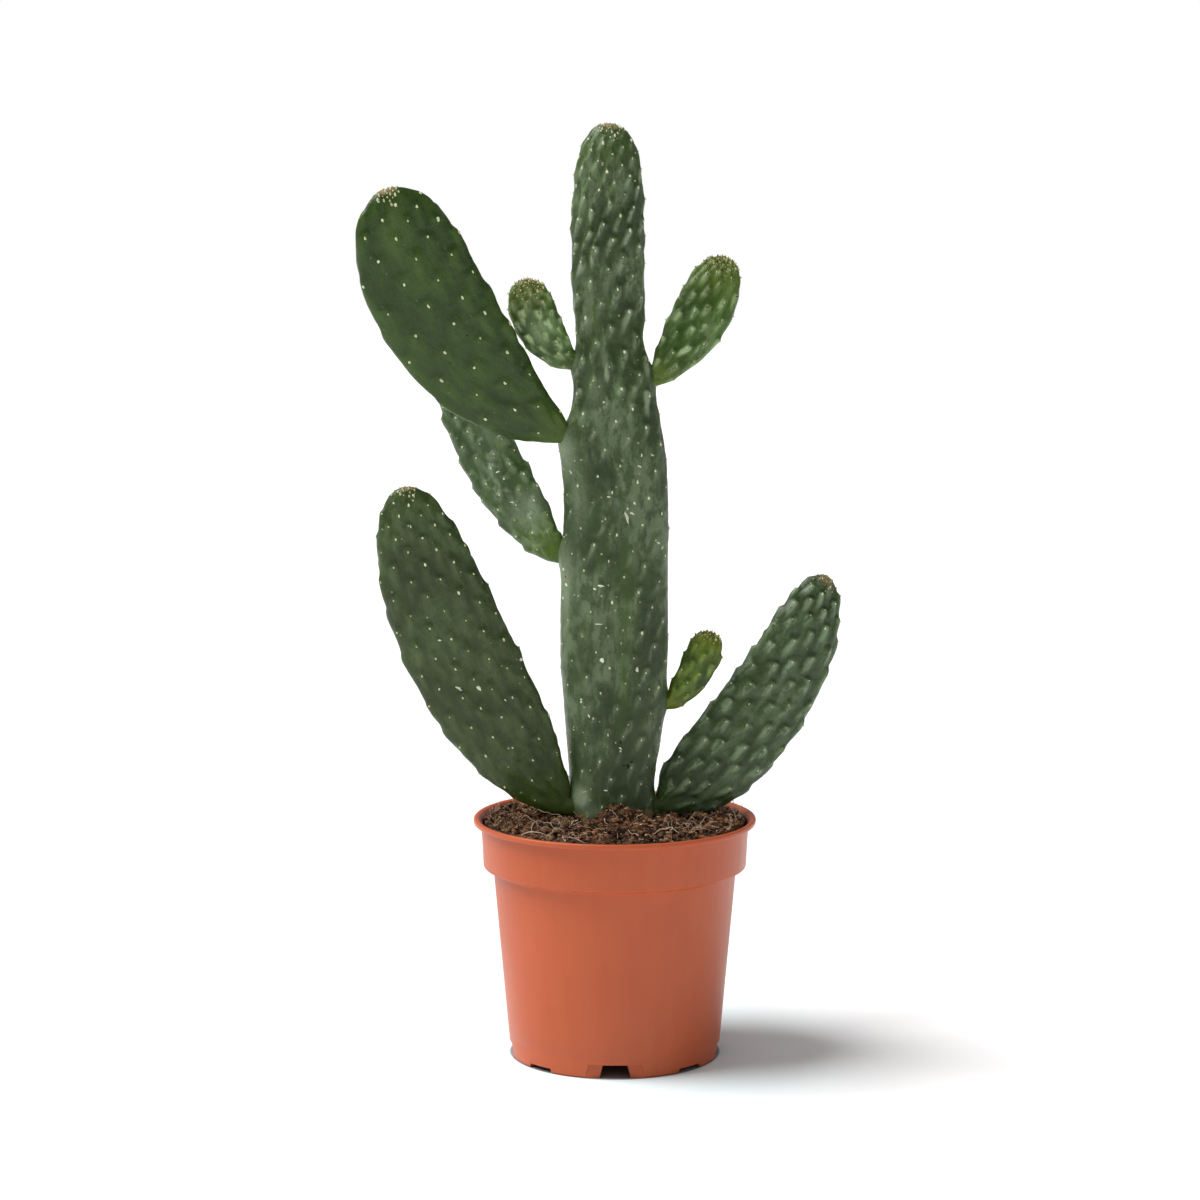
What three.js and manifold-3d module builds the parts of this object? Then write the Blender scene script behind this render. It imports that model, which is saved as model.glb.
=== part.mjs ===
// Potted paddle cactus: a plastic nursery pot full of compost, and in it an upright flat-stemmed
// cactus with seven paddles growing from the edges of its trunk.
//
// Millimetres, +Z up, -Y towards the viewer. The pieces are laid out round the pot's axis, and the
// finished group is shifted so that the origin lies on the standing surface, in the middle of
// the whole plant's outline.

import * as THREE from 'three';
import { ConvexHull } from 'three/addons/math/ConvexHull.js';
import { mergeVertices } from 'three/addons/utils/BufferGeometryUtils.js';
import Module from 'manifold-3d';

const wasm = await Module();
wasm.setup();

// ---------------------------------------------------------------- driving dimensions

const GAP = 0.3; // air between two pieces that touch

// Pot: heights from the standing surface, radii from the axis
const POT_SIDES = 40;
const POT_HEIGHT = 144.8;
const POT_WALL = 1.5;
const LIP_RADIUS = 85;
const LIP_DEPTH = 3.4;
const LIP_ROUND = 1.2;
const MOUTH_RADIUS = 82.4; // the mouth flares inside the lip
const COLLAR_TOP_RADIUS = 80.6;
const COLLAR_FOOT_RADIUS = 79.2;
const COLLAR_FOOT = 115.6;
const BODY_TOP_RADIUS = 73.2;
const BODY_TOP = 113.2;
const STEP_SOFT = 0.7; // height of the soft corners at both ends of the step
const BODY_FOOT_RADIUS = 64.2;
const BODY_FOOT = 12;
const FOOT_RADIUS = 63.2;
const FOOT_ROUND = 0.8;
const FOOT_LAND = 1.8; // width of the flat ring that the pot stands on
const FOOT_DRAFT = 0.6; // how much wider the ring is inside at its top
const FLOOR_TOP = 10;
const NOTCH_COUNT = 4;
const NOTCH = { top: 14.6, foot: 18.7, height: 8.1 };
const PANEL = { top: 30, foot: 35.6, height: 8.3 };
const PANEL_INSET = 1.6; // how far the wall is set back in a panel
const PANEL_BACKING = 3.2; // how far that wall stands inwards of the foot ring
const SLOT = { top: 16.6, foot: 18, height: 2.6 };
const CUT_REACH = 4; // how far a cutting block runs past the wall
const DRAIN_COUNT = 8;
const DRAIN_RADIUS = 4;
const DRAIN_CIRCLE = 46;
const DRAIN_SIDES = 10;

// Compost: its edge lies below the lip, and it is mounded round the trunk
const SOIL_EDGE = 143;
const SOIL_MOUND = 4.4;
const SOIL_MOUND_RADIUS = 46;
const SOIL_LUMP = 1.1; // height of its lumps
const SOIL_CALM = [66, 78]; // radii between which the lumps fade out
const SOIL_WALL_GAP = 0.4;
const SOIL_RINGS = 9;

// Trunk: height, then centre to the right, centre to the back, half width and half depth
const TRUNK_FOOT = 112;
const TRUNK_TIP = 557.4;
const TRUNK_STATIONS = [
  [112, -1.4, 0, 21, 15.5],
  [138, -1.4, 0, 24.2, 18],
  [170, -1.5, 0, 25.8, 18.6],
  [201, -0.4, 0, 29.4, 18.4],
  [245, -0.5, 0, 32.1, 18],
  [290, -0.2, 0, 31.8, 17.4],
  [340, 0.6, 0, 31, 16.6],
  [367, -1.2, 0, 30.8, 15.8],
  [390, -0.3, 0, 25.8, 14.6],
  [412, -1.2, 0.5, 22.6, 12.8],
  [431, -2.9, 1, 19.5, 11.2],
  [455, -3.7, 1.5, 21.2, 11.4],
  [490, -4.3, 1, 21.1, 11],
  [557.4, -3.8, -1, 21, 10.4],
];
const TRUNK_BLUNT = 27; // the larger, the squarer the tip
const TRUNK_SQUARENESS = 1.85; // of its section: 2 is an ellipse, more is boxier
const TRUNK_RING = 16; // points round its foot
const SHOULDER_HEIGHT = 3.2;
const SHOULDER_RADIUS = 8.5;

// Paddles. root is a point inside the trunk, base is where the paddle leaves it, tip is its far
// end. width, thick and neck (the base's share of the width) give its outline with flare (how
// fast it widens) and blunt (how square its end is). bend moves its middle sideways and roll
// turns its face to the right. relief is the height of its tubercles and spacing the distance
// between its areoles. In spacings, a tubercle is breadth wide to each side, ends drop beyond its
// areole, leans by skew and is higher by rim on the two narrow edges, or lower where rim is
// negative. knob is how far an areole stands out.
const PADS = [
  {
    name: 'pad_upper_left', seed: 11, root: [-21, 0, 365], base: [-30.5, -2, 374.5],
    tip: [-128.3, -46.3, 519.9], width: 67.2, thick: 15, neck: 0.14, flare: 3.7, blunt: 6.6,
    bend: -20.6, roll: 10, relief: 1.1, spacing: 18.6, breadth: 0.26, drop: 0.3,
    skew: 0.1, rim: 1, knob: 1.0, tipKnob: 1.4,
  },
  {
    name: 'pad_behind_left', seed: 23, root: [-19, 0, 300], base: [-35.5, 2, 303.2],
    tip: [-103.8, 40, 426.3], width: 34.6, thick: 13, neck: 0.33, flare: 5.9, blunt: 3.8,
    bend: -7.1, roll: -8, relief: 1.3, spacing: 10.6, breadth: 0.28, drop: 0.24,
    skew: 0, rim: 0.6, knob: 1.0, tipKnob: 1.4,
  },
  {
    name: 'pad_lower_left', seed: 37, root: [-18, -2, 150], base: [-33.5, -4, 152.8],
    tip: [-123.6, -33.6, 347], width: 63, thick: 16, neck: 0.25, flare: 5.3, blunt: 4.7,
    bend: -13.4, roll: 6, relief: 1.4, spacing: 14.4, breadth: 0.2, drop: 0.34,
    skew: 0, rim: 0.6, knob: 1.0, tipKnob: 1.4,
  },
  {
    name: 'pad_lower_right', seed: 41, root: [16, 1, 147], base: [29, 2, 150.3],
    tip: [127.6, 33.4, 287.4], width: 54.2, thick: 16, neck: 0.29, flare: 8.7, blunt: 3.9,
    bend: 16, roll: 12, relief: 2.4, spacing: 13.6, breadth: 0.2, drop: 0.22,
    skew: 0.12, rim: 0, knob: 1.0, tipKnob: 1.5,
  },
  {
    name: 'pad_small_left', seed: 53, root: [-17, 1, 406], base: [-23.6, 0, 416.1],
    tip: [-52.3, -9.8, 466.7], width: 27.2, thick: 10, neck: 0.23, flare: 3.5, blunt: 7.2,
    bend: -6.9, roll: 8, relief: 1.1, spacing: 8.3, breadth: 0.3, drop: 0.4,
    skew: 0, rim: 0.2, knob: 1.0, tipKnob: 2.6,
  },
  {
    name: 'pad_small_right', seed: 67, root: [14, -2, 405], base: [25.6, 0, 409.8],
    tip: [64.7, 17.6, 479.5], width: 33.6, thick: 11, neck: 0.34, flare: 3.5, blunt: 5.6,
    bend: 5, roll: -8, relief: 1.6, spacing: 10.2, breadth: 0.18, drop: 0.36,
    skew: 0.15, rim: 0, knob: 1.0, tipKnob: 2.6,
  },
  {
    name: 'pad_small_lower_right', seed: 79, root: [20, -1, 211.5], base: [34.2, -2, 214.8],
    tip: [57, 7.8, 256], width: 21, thick: 9, neck: 0.42, flare: 3.9, blunt: 8.5,
    bend: 3.8, roll: 6, relief: 1.0, spacing: 9, breadth: 0.22, drop: 0.3,
    skew: 0.1, rim: 0.5, knob: 0.9, tipKnob: 2.2,
  },
];
const PAD_SQUARENESS = 2.3;
const PAD_RING = 10;
const PAD_BARE = 0.045; // share of a paddle's length that carries no areoles, at its base
const NECK_DEPTH_SHARE = 0.62; // thickness at the base against the thickness of the face
const WIDTH_ROUNDING = 0.5; // how the width closes at a tip
const DEPTH_ROUNDING = 0.39; // and how the thickness does
const YOUNG_WIDTH = 34; // narrower paddles are this year's, with fresh green skin

// Areoles and the tubercles that carry them
const GOLDEN_TURN = 0.381966; // of a turn, from one areole to the next up the spiral
const PATCH_SHARE = 0.866; // area held by an areole, over its spacing squared
const TIP_CROWDING = 0.42; // how much closer the areoles stand at a tip
const YOUNG_CROWDING = 0.62; // and at the tip of a young paddle
const CROWDING_START = 0.72; // share of the length where they begin to close up
const RANK_DRIFT = 0.24; // chance shift of an areole along the spiral, in steps of it
const TURN_DRIFT = 0.16; // and round the stem, in spacings
const JOINT_MARGIN = 5; // bare skin round the neck of a paddle
const CLIMB = 1.25; // length of a tubercle below its areole, in spacings
const SIZE_DRIFT = 0.4; // how much lower a tubercle may be by chance
const JOINING = 6; // the larger, the sharper the valley where two tubercles meet
const EDGE_NARROWNESS = 6; // the larger, the narrower the edge on which they are higher by rim
const TIP_CALM = 0.5; // how much flatter they are at a stem's very tip
const TIP_START = 0.9;
const TRUNK_AREOLES = {
  seed: 5, relief: 2.1, spacing: 14.5, breadth: 0.16, drop: 0.5, skew: 0.38, rim: -0.5,
  knob: 1.0, tipKnob: 1.4, crowding: TIP_CROWDING,
};
const TRUNK_RELIEF = { foot: 0.3, top: 1.3, from: 0.5, to: 0.78 }; // its relief grows with height
const KNOB_RADIUS = 1.7;
const VALLEYS = [[3, 8], [5, 8]]; // pairs of steps up the spiral to an areole's neighbours
const RIM_STEP = 9; // between points along the two edges of a stem
const RIM_CROWDING = 1.3; // over 1, they close up towards the tip
const KNOB_CLEARANCE = 0.8; // least distances between the points of a skin: on a knob
const RIDGE_CLEARANCE = 1.3; // on the ridge of a tubercle
const VALLEY_CLEARANCE = 2; // in a valley and round a ring
const RIM_CLEARANCE = 2.6; // and along an edge

const STATIONS = 240; // stations along a stem at which it is measured

// ---------------------------------------------------------------- small helpers

const fraction = (x) => x - Math.floor(x);
const chance = (n) => fraction(Math.sin(n * 12.9898) * 43758.5453);
const halfTurn = (turn) => fraction(turn + 0.5) - 0.5;
const ease = (low, high, x) => THREE.MathUtils.smoothstep(x, low, high);
const power = (x, exponent) => Math.sign(x) * Math.abs(x) ** exponent;
const vector = (list) => new THREE.Vector3(...list);
const tapered = (low, lowValue, high, highValue) => (
  (x) => THREE.MathUtils.mapLinear(x, low, high, lowValue, highValue)
);

// ---------------------------------------------------------------- solids and booleans

// A closed geometry with one vertex per corner and no collapsed triangles.
function weld(geometry) {
  const bare = new THREE.BufferGeometry();
  bare.setAttribute('position', geometry.getAttribute('position').clone());
  bare.setIndex(geometry.index);
  const merged = mergeVertices(bare, 1e-4);
  const corners = merged.index.array;
  const kept = [];
  for (let i = 0; i < corners.length; i += 3) {
    const [a, b, c] = corners.subarray(i, i + 3);
    if (a !== b && b !== c && c !== a) kept.push(a, b, c);
  }
  merged.setIndex(kept);
  return merged;
}

function toSolid(geometry) {
  const welded = weld(geometry);
  return new wasm.Manifold(new wasm.Mesh({
    numProp: 3,
    vertProperties: new Float32Array(welded.getAttribute('position').array),
    triVerts: new Uint32Array(welded.index.array),
  }));
}

function toGeometry(solid) {
  const mesh = solid.getMesh();
  const geometry = new THREE.BufferGeometry();
  geometry.setAttribute('position', new THREE.BufferAttribute(mesh.vertProperties, 3));
  geometry.setIndex(new THREE.BufferAttribute(mesh.triVerts, 1));
  geometry.computeVertexNormals();
  return geometry;
}

// The largest body of a solid, so that no loose scrap of a cut is kept.
function largestBody(solid) {
  const bodies = solid.decompose();
  bodies.sort((a, b) => b.volume() - a.volume());
  return bodies[0];
}

// ---------------------------------------------------------------- the form of a stem

// The angle round a section for each fraction of its girth, so that what is spaced by girth
// spreads evenly over the flat faces and the narrow edges.
function girthAngles(aspect, squareness) {
  const steps = 256;
  const lengths = [0];
  let previous = new THREE.Vector2(aspect, 0);
  for (let i = 1; i <= steps; i += 1) {
    const angle = (i / steps) * 2 * Math.PI;
    const x = aspect * power(Math.cos(angle), 2 / squareness);
    const point = new THREE.Vector2(x, power(Math.sin(angle), 2 / squareness));
    lengths.push(lengths[i - 1] + point.distanceTo(previous));
    previous = point;
  }
  return (turn) => {
    const wanted = fraction(turn) * lengths[steps];
    const i = lengths.findIndex((length) => length > wanted);
    const share = (wanted - lengths[i - 1]) / (lengths[i] - lengths[i - 1]);
    return ((i - 1 + share) / steps) * 2 * Math.PI;
  };
}

// Falls from 1 to 0 at a tip, the later the blunter the tip is.
const tipClosing = (s, blunt) => Math.max(0, 1 - Math.max(s, 0) ** blunt);

// The trunk's section at a share s of its height: it stands upright and faces the viewer.
function trunkSection(form, s) {
  const height = THREE.MathUtils.lerp(TRUNK_FOOT, TRUNK_TIP, s);
  const [x, y, half, deep] = form.evaluate(height);
  const closing = tipClosing(s, TRUNK_BLUNT);
  return {
    centre: new THREE.Vector3(x, y, height),
    side: new THREE.Vector3(1, 0, 0),
    front: new THREE.Vector3(0, -1, 0),
    half: half * closing ** WIDTH_ROUNDING,
    deep: deep * closing ** DEPTH_ROUNDING,
  };
}

function trunkStem() {
  const heights = TRUNK_STATIONS.map((row) => row[0]);
  const values = TRUNK_STATIONS.flatMap((row) => row.slice(1));
  const form = new THREE.CubicInterpolant(heights, values, 4, []);
  const middle = form.evaluate((TRUNK_FOOT + TRUNK_TIP) / 2);
  const { foot, top, from, to } = TRUNK_RELIEF;
  const stem = {
    ...TRUNK_AREOLES,
    vigour: (s) => THREE.MathUtils.lerp(foot, top, ease(from, to, s)),
    start: 0,
    length: TRUNK_TIP - TRUNK_FOOT,
    squareness: TRUNK_SQUARENESS,
    angleAt: girthAngles(middle[2] / middle[3], TRUNK_SQUARENESS),
    section: (s) => trunkSection(form, s),
    joints: PADS.map((pad) => ({ point: vector(pad.base), radius: (pad.width * pad.neck) / 2 })),
    bareBelow: (SOIL_EDGE + SOIL_MOUND - TRUNK_FOOT) / (TRUNK_TIP - TRUNK_FOOT),
    ringSides: TRUNK_RING,
  };
  return surveyed(stem);
}

// Width of a paddle, not yet scaled: it flares from its neck and ends in a round tip.
function paddleSwell(pad, s) {
  const swell = 1 - (1 - pad.neck) * (1 - s) ** pad.flare;
  return swell * tipClosing(s, pad.blunt) ** WIDTH_ROUNDING;
}

// A paddle's section stands square to its bent middle line.
function paddleSection(pad, frame, s) {
  const along = Math.max(s, 0);
  const centre = frame.base.clone().addScaledVector(frame.reach, along);
  centre.addScaledVector(frame.side, pad.bend * 4 * along * (1 - along));
  if (s < 0) centre.lerp(vector(pad.root), s / frame.start);
  const lean = Math.atan2(pad.bend * 4 * (1 - 2 * along), frame.reach.length());
  const depth = 1 - (1 - NECK_DEPTH_SHARE) * (1 - along) ** 2;
  return {
    centre,
    side: frame.side.clone().applyAxisAngle(frame.front, -lean),
    front: frame.front,
    half: (pad.width / 2) * (paddleSwell(pad, along) / frame.peak),
    deep: (pad.thick / 2) * depth * tipClosing(along, pad.blunt) ** DEPTH_ROUNDING,
  };
}

function paddleStem(pad) {
  const base = vector(pad.base);
  const reach = vector(pad.tip).sub(base);
  const axis = reach.clone().normalize();
  const front = new THREE.Vector3(0, -1, 0);
  front.addScaledVector(axis, -front.dot(axis)).normalize();
  front.applyAxisAngle(axis, THREE.MathUtils.degToRad(pad.roll));
  const side = axis.clone().cross(front);
  let peak = 0;
  for (let i = 0; i <= STATIONS; i += 1) peak = Math.max(peak, paddleSwell(pad, i / STATIONS));
  const start = -base.distanceTo(vector(pad.root)) / reach.length();
  const frame = { base, reach, front, side, peak, start };
  const stem = {
    ...pad,
    vigour: () => 1,
    crowding: pad.width < YOUNG_WIDTH ? YOUNG_CROWDING : TIP_CROWDING,
    start,
    length: reach.length(),
    squareness: PAD_SQUARENESS,
    angleAt: girthAngles(pad.width / pad.thick, PAD_SQUARENESS),
    section: (s) => paddleSection(pad, frame, s),
    joints: [],
    bareBelow: PAD_BARE,
    ringSides: PAD_RING,
  };
  return surveyed(stem);
}

// A point of the bare skin, without shoulders, tubercles or areoles.
function barePoint(stem, s, turn) {
  const { centre, side, front, half, deep } = stem.section(s);
  const angle = stem.angleAt(turn);
  const point = centre.clone();
  point.addScaledVector(side, half * power(Math.cos(angle), 2 / stem.squareness));
  point.addScaledVector(front, deep * power(Math.sin(angle), 2 / stem.squareness));
  return point;
}

function skinNormal(stem, s, turn) {
  const step = 2e-3;
  const high = Math.min(s + step, 1);
  const along = barePoint(stem, high, turn).sub(barePoint(stem, high - 2 * step, turn));
  const round = barePoint(stem, s, turn + step).sub(barePoint(stem, s, turn - step));
  return along.cross(round).normalize();
}

function girthAt(stem, s) {
  const sides = 48;
  let girth = 0;
  for (let i = 0; i < sides; i += 1) {
    girth += barePoint(stem, s, i / sides).distanceTo(barePoint(stem, s, (i + 1) / sides));
  }
  return girth;
}

const spacingAt = (stem, s) => stem.spacing * (1 - stem.crowding * ease(CROWDING_START, 1, s));

// Adds the stem's stations, root to tip: at each, its girth, the number of areoles so far and its
// height on a map that keeps angles, on which the skin is a cylinder one turn round.
function surveyed(stem) {
  const stations = [];
  let count = 0;
  let height = 0;
  for (let i = 0; i < STATIONS; i += 1) {
    const share = 1 - (1 - i / STATIONS) ** 2;
    const s = stem.start + (1 - stem.start) * share;
    const girth = girthAt(stem, s);
    const last = stations[i - 1];
    if (last) {
      const rise = Math.hypot((s - last.s) * stem.length, (girth - last.girth) / (2 * Math.PI));
      const mean = (girth + last.girth) / 2;
      height += (rise * 2 * Math.PI) / mean;
      if (s > stem.bareBelow) count += (rise * mean) / (PATCH_SHARE * spacingAt(stem, s) ** 2);
    }
    stations.push({ s, girth, count, height });
  }
  return { ...stem, stations };
}

// The station, interpolated, at which a rising quantity reaches a value.
function stationWhere(stem, key, value) {
  const { stations } = stem;
  const found = stations.findIndex((station) => station[key] > value);
  const i = THREE.MathUtils.clamp(found < 0 ? STATIONS - 1 : found, 1, STATIONS - 1);
  const [low, high] = [stations[i - 1], stations[i]];
  const share = (value - low[key]) / (high[key] - low[key]);
  const mix = (name) => THREE.MathUtils.lerp(low[name], high[name], share);
  return { s: mix('s'), girth: mix('girth'), height: mix('height') };
}

// ---------------------------------------------------------------- areoles and tubercles

// Areoles climb the stem in one spiral, a golden turn apart, each moved a little by chance, which
// also sizes its tubercle. None grows where a paddle leaves the stem.
function areolesOf(stem) {
  const areoles = [];
  const total = Math.floor(stem.stations[STATIONS - 1].count);
  for (let k = 0; k < total; k += 1) {
    const drift = RANK_DRIFT * (chance(k + stem.seed) - 0.5);
    const station = stationWhere(stem, 'count', k + 0.5 + drift);
    const wander = (TURN_DRIFT * spacingAt(stem, station.s)) / station.girth;
    const turn = k * GOLDEN_TURN + wander * (chance(k + stem.seed + 0.5) - 0.5);
    const point = barePoint(stem, station.s, turn);
    const size = 1 - SIZE_DRIFT * chance(k + stem.seed + 0.25);
    const clear = (joint) => joint.point.distanceTo(point) > joint.radius + JOINT_MARGIN;
    if (stem.joints.every(clear)) areoles.push({ ...station, k, turn, size });
  }
  return areoles;
}

// A tubercle climbs slowly as a leaning ridge to its areole and drops steeply beyond it. Lengths
// are in spacings.
function tubercle(stem, along, across) {
  const climb = ease(-CLIMB, 0, along);
  const drop = Math.exp(-((Math.max(along, 0) / stem.drop) ** 2));
  const flank = (across + stem.skew * Math.min(along, 0)) / stem.breadth;
  return climb * drop * Math.exp(-(flank ** 2));
}

function reliefAt(stem, areoles, s, turn) {
  const spacing = spacingAt(stem, s);
  let heaped = 0;
  for (const areole of areoles) {
    const along = ((s - areole.s) * stem.length) / spacing;
    const across = (halfTurn(turn - areole.turn) * areole.girth) / spacing;
    heaped += (areole.size * tubercle(stem, along, across)) ** JOINING;
  }
  const edge = Math.abs(Math.cos(stem.angleAt(turn))) ** EDGE_NARROWNESS;
  const height = stem.relief * stem.vigour(s) * (1 + stem.rim * edge);
  return height * (1 - TIP_CALM * ease(TIP_START, 1, s)) * heaped ** (1 / JOINING);
}

// The trunk swells to a low shoulder under each paddle.
function shoulderAt(stem, point) {
  const rise = (joint) => Math.exp(-((joint.point.distanceTo(point) / SHOULDER_RADIUS) ** 2));
  return SHOULDER_HEIGHT * Math.max(0, ...stem.joints.map(rise));
}

// ---------------------------------------------------------------- the skin of a stem

// Collects points of the skin, with their places on a sphere: the stem's map, which keeps
// angles, is wrapped on the sphere so that close neighbours stay close neighbours.
function skinCollector(stem, areoles, grow) {
  const points = [];
  const images = [];
  const middle = stem.stations[STATIONS - 1].height / 2;
  const keep = (point, image) => {
    points.push(point);
    images.push(image);
  };
  const add = (s, turn, lift, clearance) => {
    const place = THREE.MathUtils.clamp(s, stem.start, 1 - 1e-4);
    const bare = barePoint(stem, place, turn);
    const rise = lift + reliefAt(stem, areoles, place, turn) + shoulderAt(stem, bare);
    const point = bare.clone().addScaledVector(skinNormal(stem, place, turn), rise + grow);
    if (points.some((other) => other.distanceTo(point) < clearance)) return;
    const { height } = stationWhere(stem, 's', place);
    const radius = 1 / Math.cosh(height - middle);
    const angle = 2 * Math.PI * turn;
    const level = Math.tanh(height - middle);
    keep(point, new THREE.Vector3(radius * Math.cos(angle), -radius * Math.sin(angle), level));
  };
  return { points, images, keep, add };
}

// The two ends of the middle line, moved outwards along it.
function addEnds(stem, skin, grow) {
  for (const [end, inside, pole] of [[stem.start, stem.start + 0.02, -1], [1, 0.98, 1]]) {
    const point = stem.section(end).centre;
    const outwards = point.clone().sub(stem.section(inside).centre).normalize();
    skin.keep(point.clone().addScaledVector(outwards, grow), new THREE.Vector3(0, 0, pole));
  }
}

// An areole is a small knob: its top, and a ring of three points, one below and two above. One
// more point lies half way down the ridge of its tubercle. Near a tip the knobs lean outwards.
function addAreole(stem, skin, areole) {
  const spacing = spacingAt(stem, areole.s);
  const along = 1 / stem.length;
  const across = 1 / areole.girth;
  const ageing = ease(0.55, 0.95, areole.s);
  const lift = THREE.MathUtils.lerp(stem.knob, stem.tipKnob, ageing);
  const { s, turn } = areole;
  const high = s + 0.8 * KNOB_RADIUS * along;
  skin.add(s + 0.5 * lift * ageing * along, turn, lift, KNOB_CLEARANCE);
  skin.add(s - KNOB_RADIUS * along, turn, 0, KNOB_CLEARANCE);
  skin.add(high, turn + KNOB_RADIUS * across, 0, KNOB_CLEARANCE);
  skin.add(high, turn - KNOB_RADIUS * across, 0, KNOB_CLEARANCE);
  const halfDown = 0.5 * CLIMB * spacing;
  skin.add(s - halfDown * along, turn + stem.skew * halfDown * across, 0, RIDGE_CLEARANCE);
}

// The valleys lie in the middles of the triangles that an areole makes with its neighbours.
function addValleys(stem, skin, areole) {
  for (const [low, high] of VALLEYS) {
    const rank = areole.k + 0.5 + (low + high) / 3;
    const shift = (halfTurn(low * GOLDEN_TURN) + halfTurn(high * GOLDEN_TURN)) / 3;
    if (rank < stem.stations[STATIONS - 1].count) {
      skin.add(stationWhere(stem, 'count', rank).s, areole.turn + shift, 0, VALLEY_CLEARANCE);
    }
  }
}

// Rings at the root and where the stem comes into view, and a row up each narrow edge.
function addRings(stem, skin) {
  for (const s of [stem.start, stem.bareBelow / 2, stem.bareBelow]) {
    for (let i = 0; i < stem.ringSides; i += 1) {
      skin.add(s, i / stem.ringSides, 0, VALLEY_CLEARANCE);
    }
  }
  const rows = Math.round(stem.length / RIM_STEP);
  for (let i = 1; i < rows; i += 1) {
    const s = 1 - (1 - i / rows) ** RIM_CROWDING;
    for (const turn of [0, 0.5]) skin.add(s, turn, 0, RIM_CLEARANCE);
  }
}

// The points of the skin are joined as the hull of their images on the sphere is.
function skinSolid(stem, areoles, grow) {
  const skin = skinCollector(stem, areoles, grow);
  addEnds(stem, skin, grow);
  for (const areole of areoles) addAreole(stem, skin, areole);
  addRings(stem, skin);
  for (const areole of areoles) addValleys(stem, skin, areole);
  const numbers = new Map(skin.images.map((image, i) => [image, i]));
  const corners = [];
  for (const face of new ConvexHull().setFromPoints(skin.images).faces) {
    const { edge } = face;
    for (const each of [edge, edge.next, edge.next.next]) {
      corners.push(numbers.get(each.head().point));
    }
  }
  const geometry = new THREE.BufferGeometry().setFromPoints(skin.points);
  geometry.setIndex(corners);
  return toSolid(geometry);
}

// ---------------------------------------------------------------- pot

// Outer radii by height, of the tapered body, the step and the collar above it.
const bodyRadius = tapered(BODY_FOOT, BODY_FOOT_RADIUS, BODY_TOP, BODY_TOP_RADIUS);
const stepRadius = tapered(BODY_TOP, BODY_TOP_RADIUS, COLLAR_FOOT, COLLAR_FOOT_RADIUS);
const collarRadius = tapered(
  COLLAR_FOOT, COLLAR_FOOT_RADIUS, POT_HEIGHT - LIP_DEPTH, COLLAR_TOP_RADIUS,
);

// The inside of the wall from a height in the collar down to the floor, offset inwards by a gap.
function innerWall(high, gap) {
  const inset = POT_WALL + gap;
  return [
    new THREE.Vector2(collarRadius(high) - inset, high),
    new THREE.Vector2(collarRadius(COLLAR_FOOT) - inset, COLLAR_FOOT + POT_WALL),
    new THREE.Vector2(BODY_TOP_RADIUS - inset, BODY_TOP + POT_WALL),
    new THREE.Vector2(bodyRadius(FLOOR_TOP + gap) - inset, FLOOR_TOP + gap),
  ];
}

// Half section of the pot: floor underside, foot, wall, collar, lip, and back down inside.
function potProfile() {
  const floorUnder = FLOOR_TOP - POT_WALL;
  const footInner = FOOT_RADIUS - FOOT_ROUND - FOOT_LAND;
  const lipUnder = POT_HEIGHT - LIP_DEPTH;
  const lipCentre = LIP_RADIUS - LIP_ROUND;
  const path = new THREE.Path();
  path.moveTo(0, floorUnder);
  path.lineTo(footInner + FOOT_DRAFT, floorUnder);
  path.lineTo(footInner, 0);
  path.lineTo(FOOT_RADIUS - FOOT_ROUND, 0);
  path.absarc(FOOT_RADIUS - FOOT_ROUND, FOOT_ROUND, FOOT_ROUND, -Math.PI / 2, 0, false);
  path.lineTo(BODY_FOOT_RADIUS, BODY_FOOT);
  path.lineTo(bodyRadius(BODY_TOP - STEP_SOFT), BODY_TOP - STEP_SOFT);
  path.lineTo(stepRadius(BODY_TOP + STEP_SOFT), BODY_TOP + STEP_SOFT);
  path.lineTo(stepRadius(COLLAR_FOOT - STEP_SOFT), COLLAR_FOOT - STEP_SOFT);
  path.lineTo(collarRadius(COLLAR_FOOT + STEP_SOFT), COLLAR_FOOT + STEP_SOFT);
  path.lineTo(collarRadius(lipUnder), lipUnder);
  path.lineTo(lipCentre, lipUnder);
  path.absarc(lipCentre, lipUnder + LIP_ROUND, LIP_ROUND, -Math.PI / 2, 0, false);
  path.absarc(lipCentre, POT_HEIGHT - LIP_ROUND, LIP_ROUND, 0, Math.PI / 2, false);
  path.lineTo(MOUTH_RADIUS, POT_HEIGHT);
  for (const point of innerWall(lipUnder, 0)) path.lineTo(point.x, point.y);
  path.lineTo(0, FLOOR_TOP);
  return path.getPoints(1);
}

// Turns a half section round the vertical axis.
function turned(profile) {
  const geometry = new THREE.LatheGeometry(profile, POT_SIDES);
  geometry.rotateX(Math.PI / 2);
  return geometry;
}

// A block with a trapezoid front, across the foot ring at an angle round the pot. Its foot runs
// on downwards by sink.
function footBlock({ top, foot, height }, inner, outer, angle, sink) {
  const widen = ((foot - top) / 2) * (sink / height);
  const outline = new THREE.Shape([
    new THREE.Vector2(-foot / 2 - widen, -sink),
    new THREE.Vector2(foot / 2 + widen, -sink),
    new THREE.Vector2(top / 2, height),
    new THREE.Vector2(-top / 2, height),
  ]);
  const geometry = new THREE.ExtrudeGeometry(outline, { depth: outer - inner, bevelEnabled: false });
  geometry.rotateX(Math.PI / 2);
  geometry.translate(0, -inner, 0);
  geometry.rotateZ(angle);
  return toSolid(geometry);
}

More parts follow.
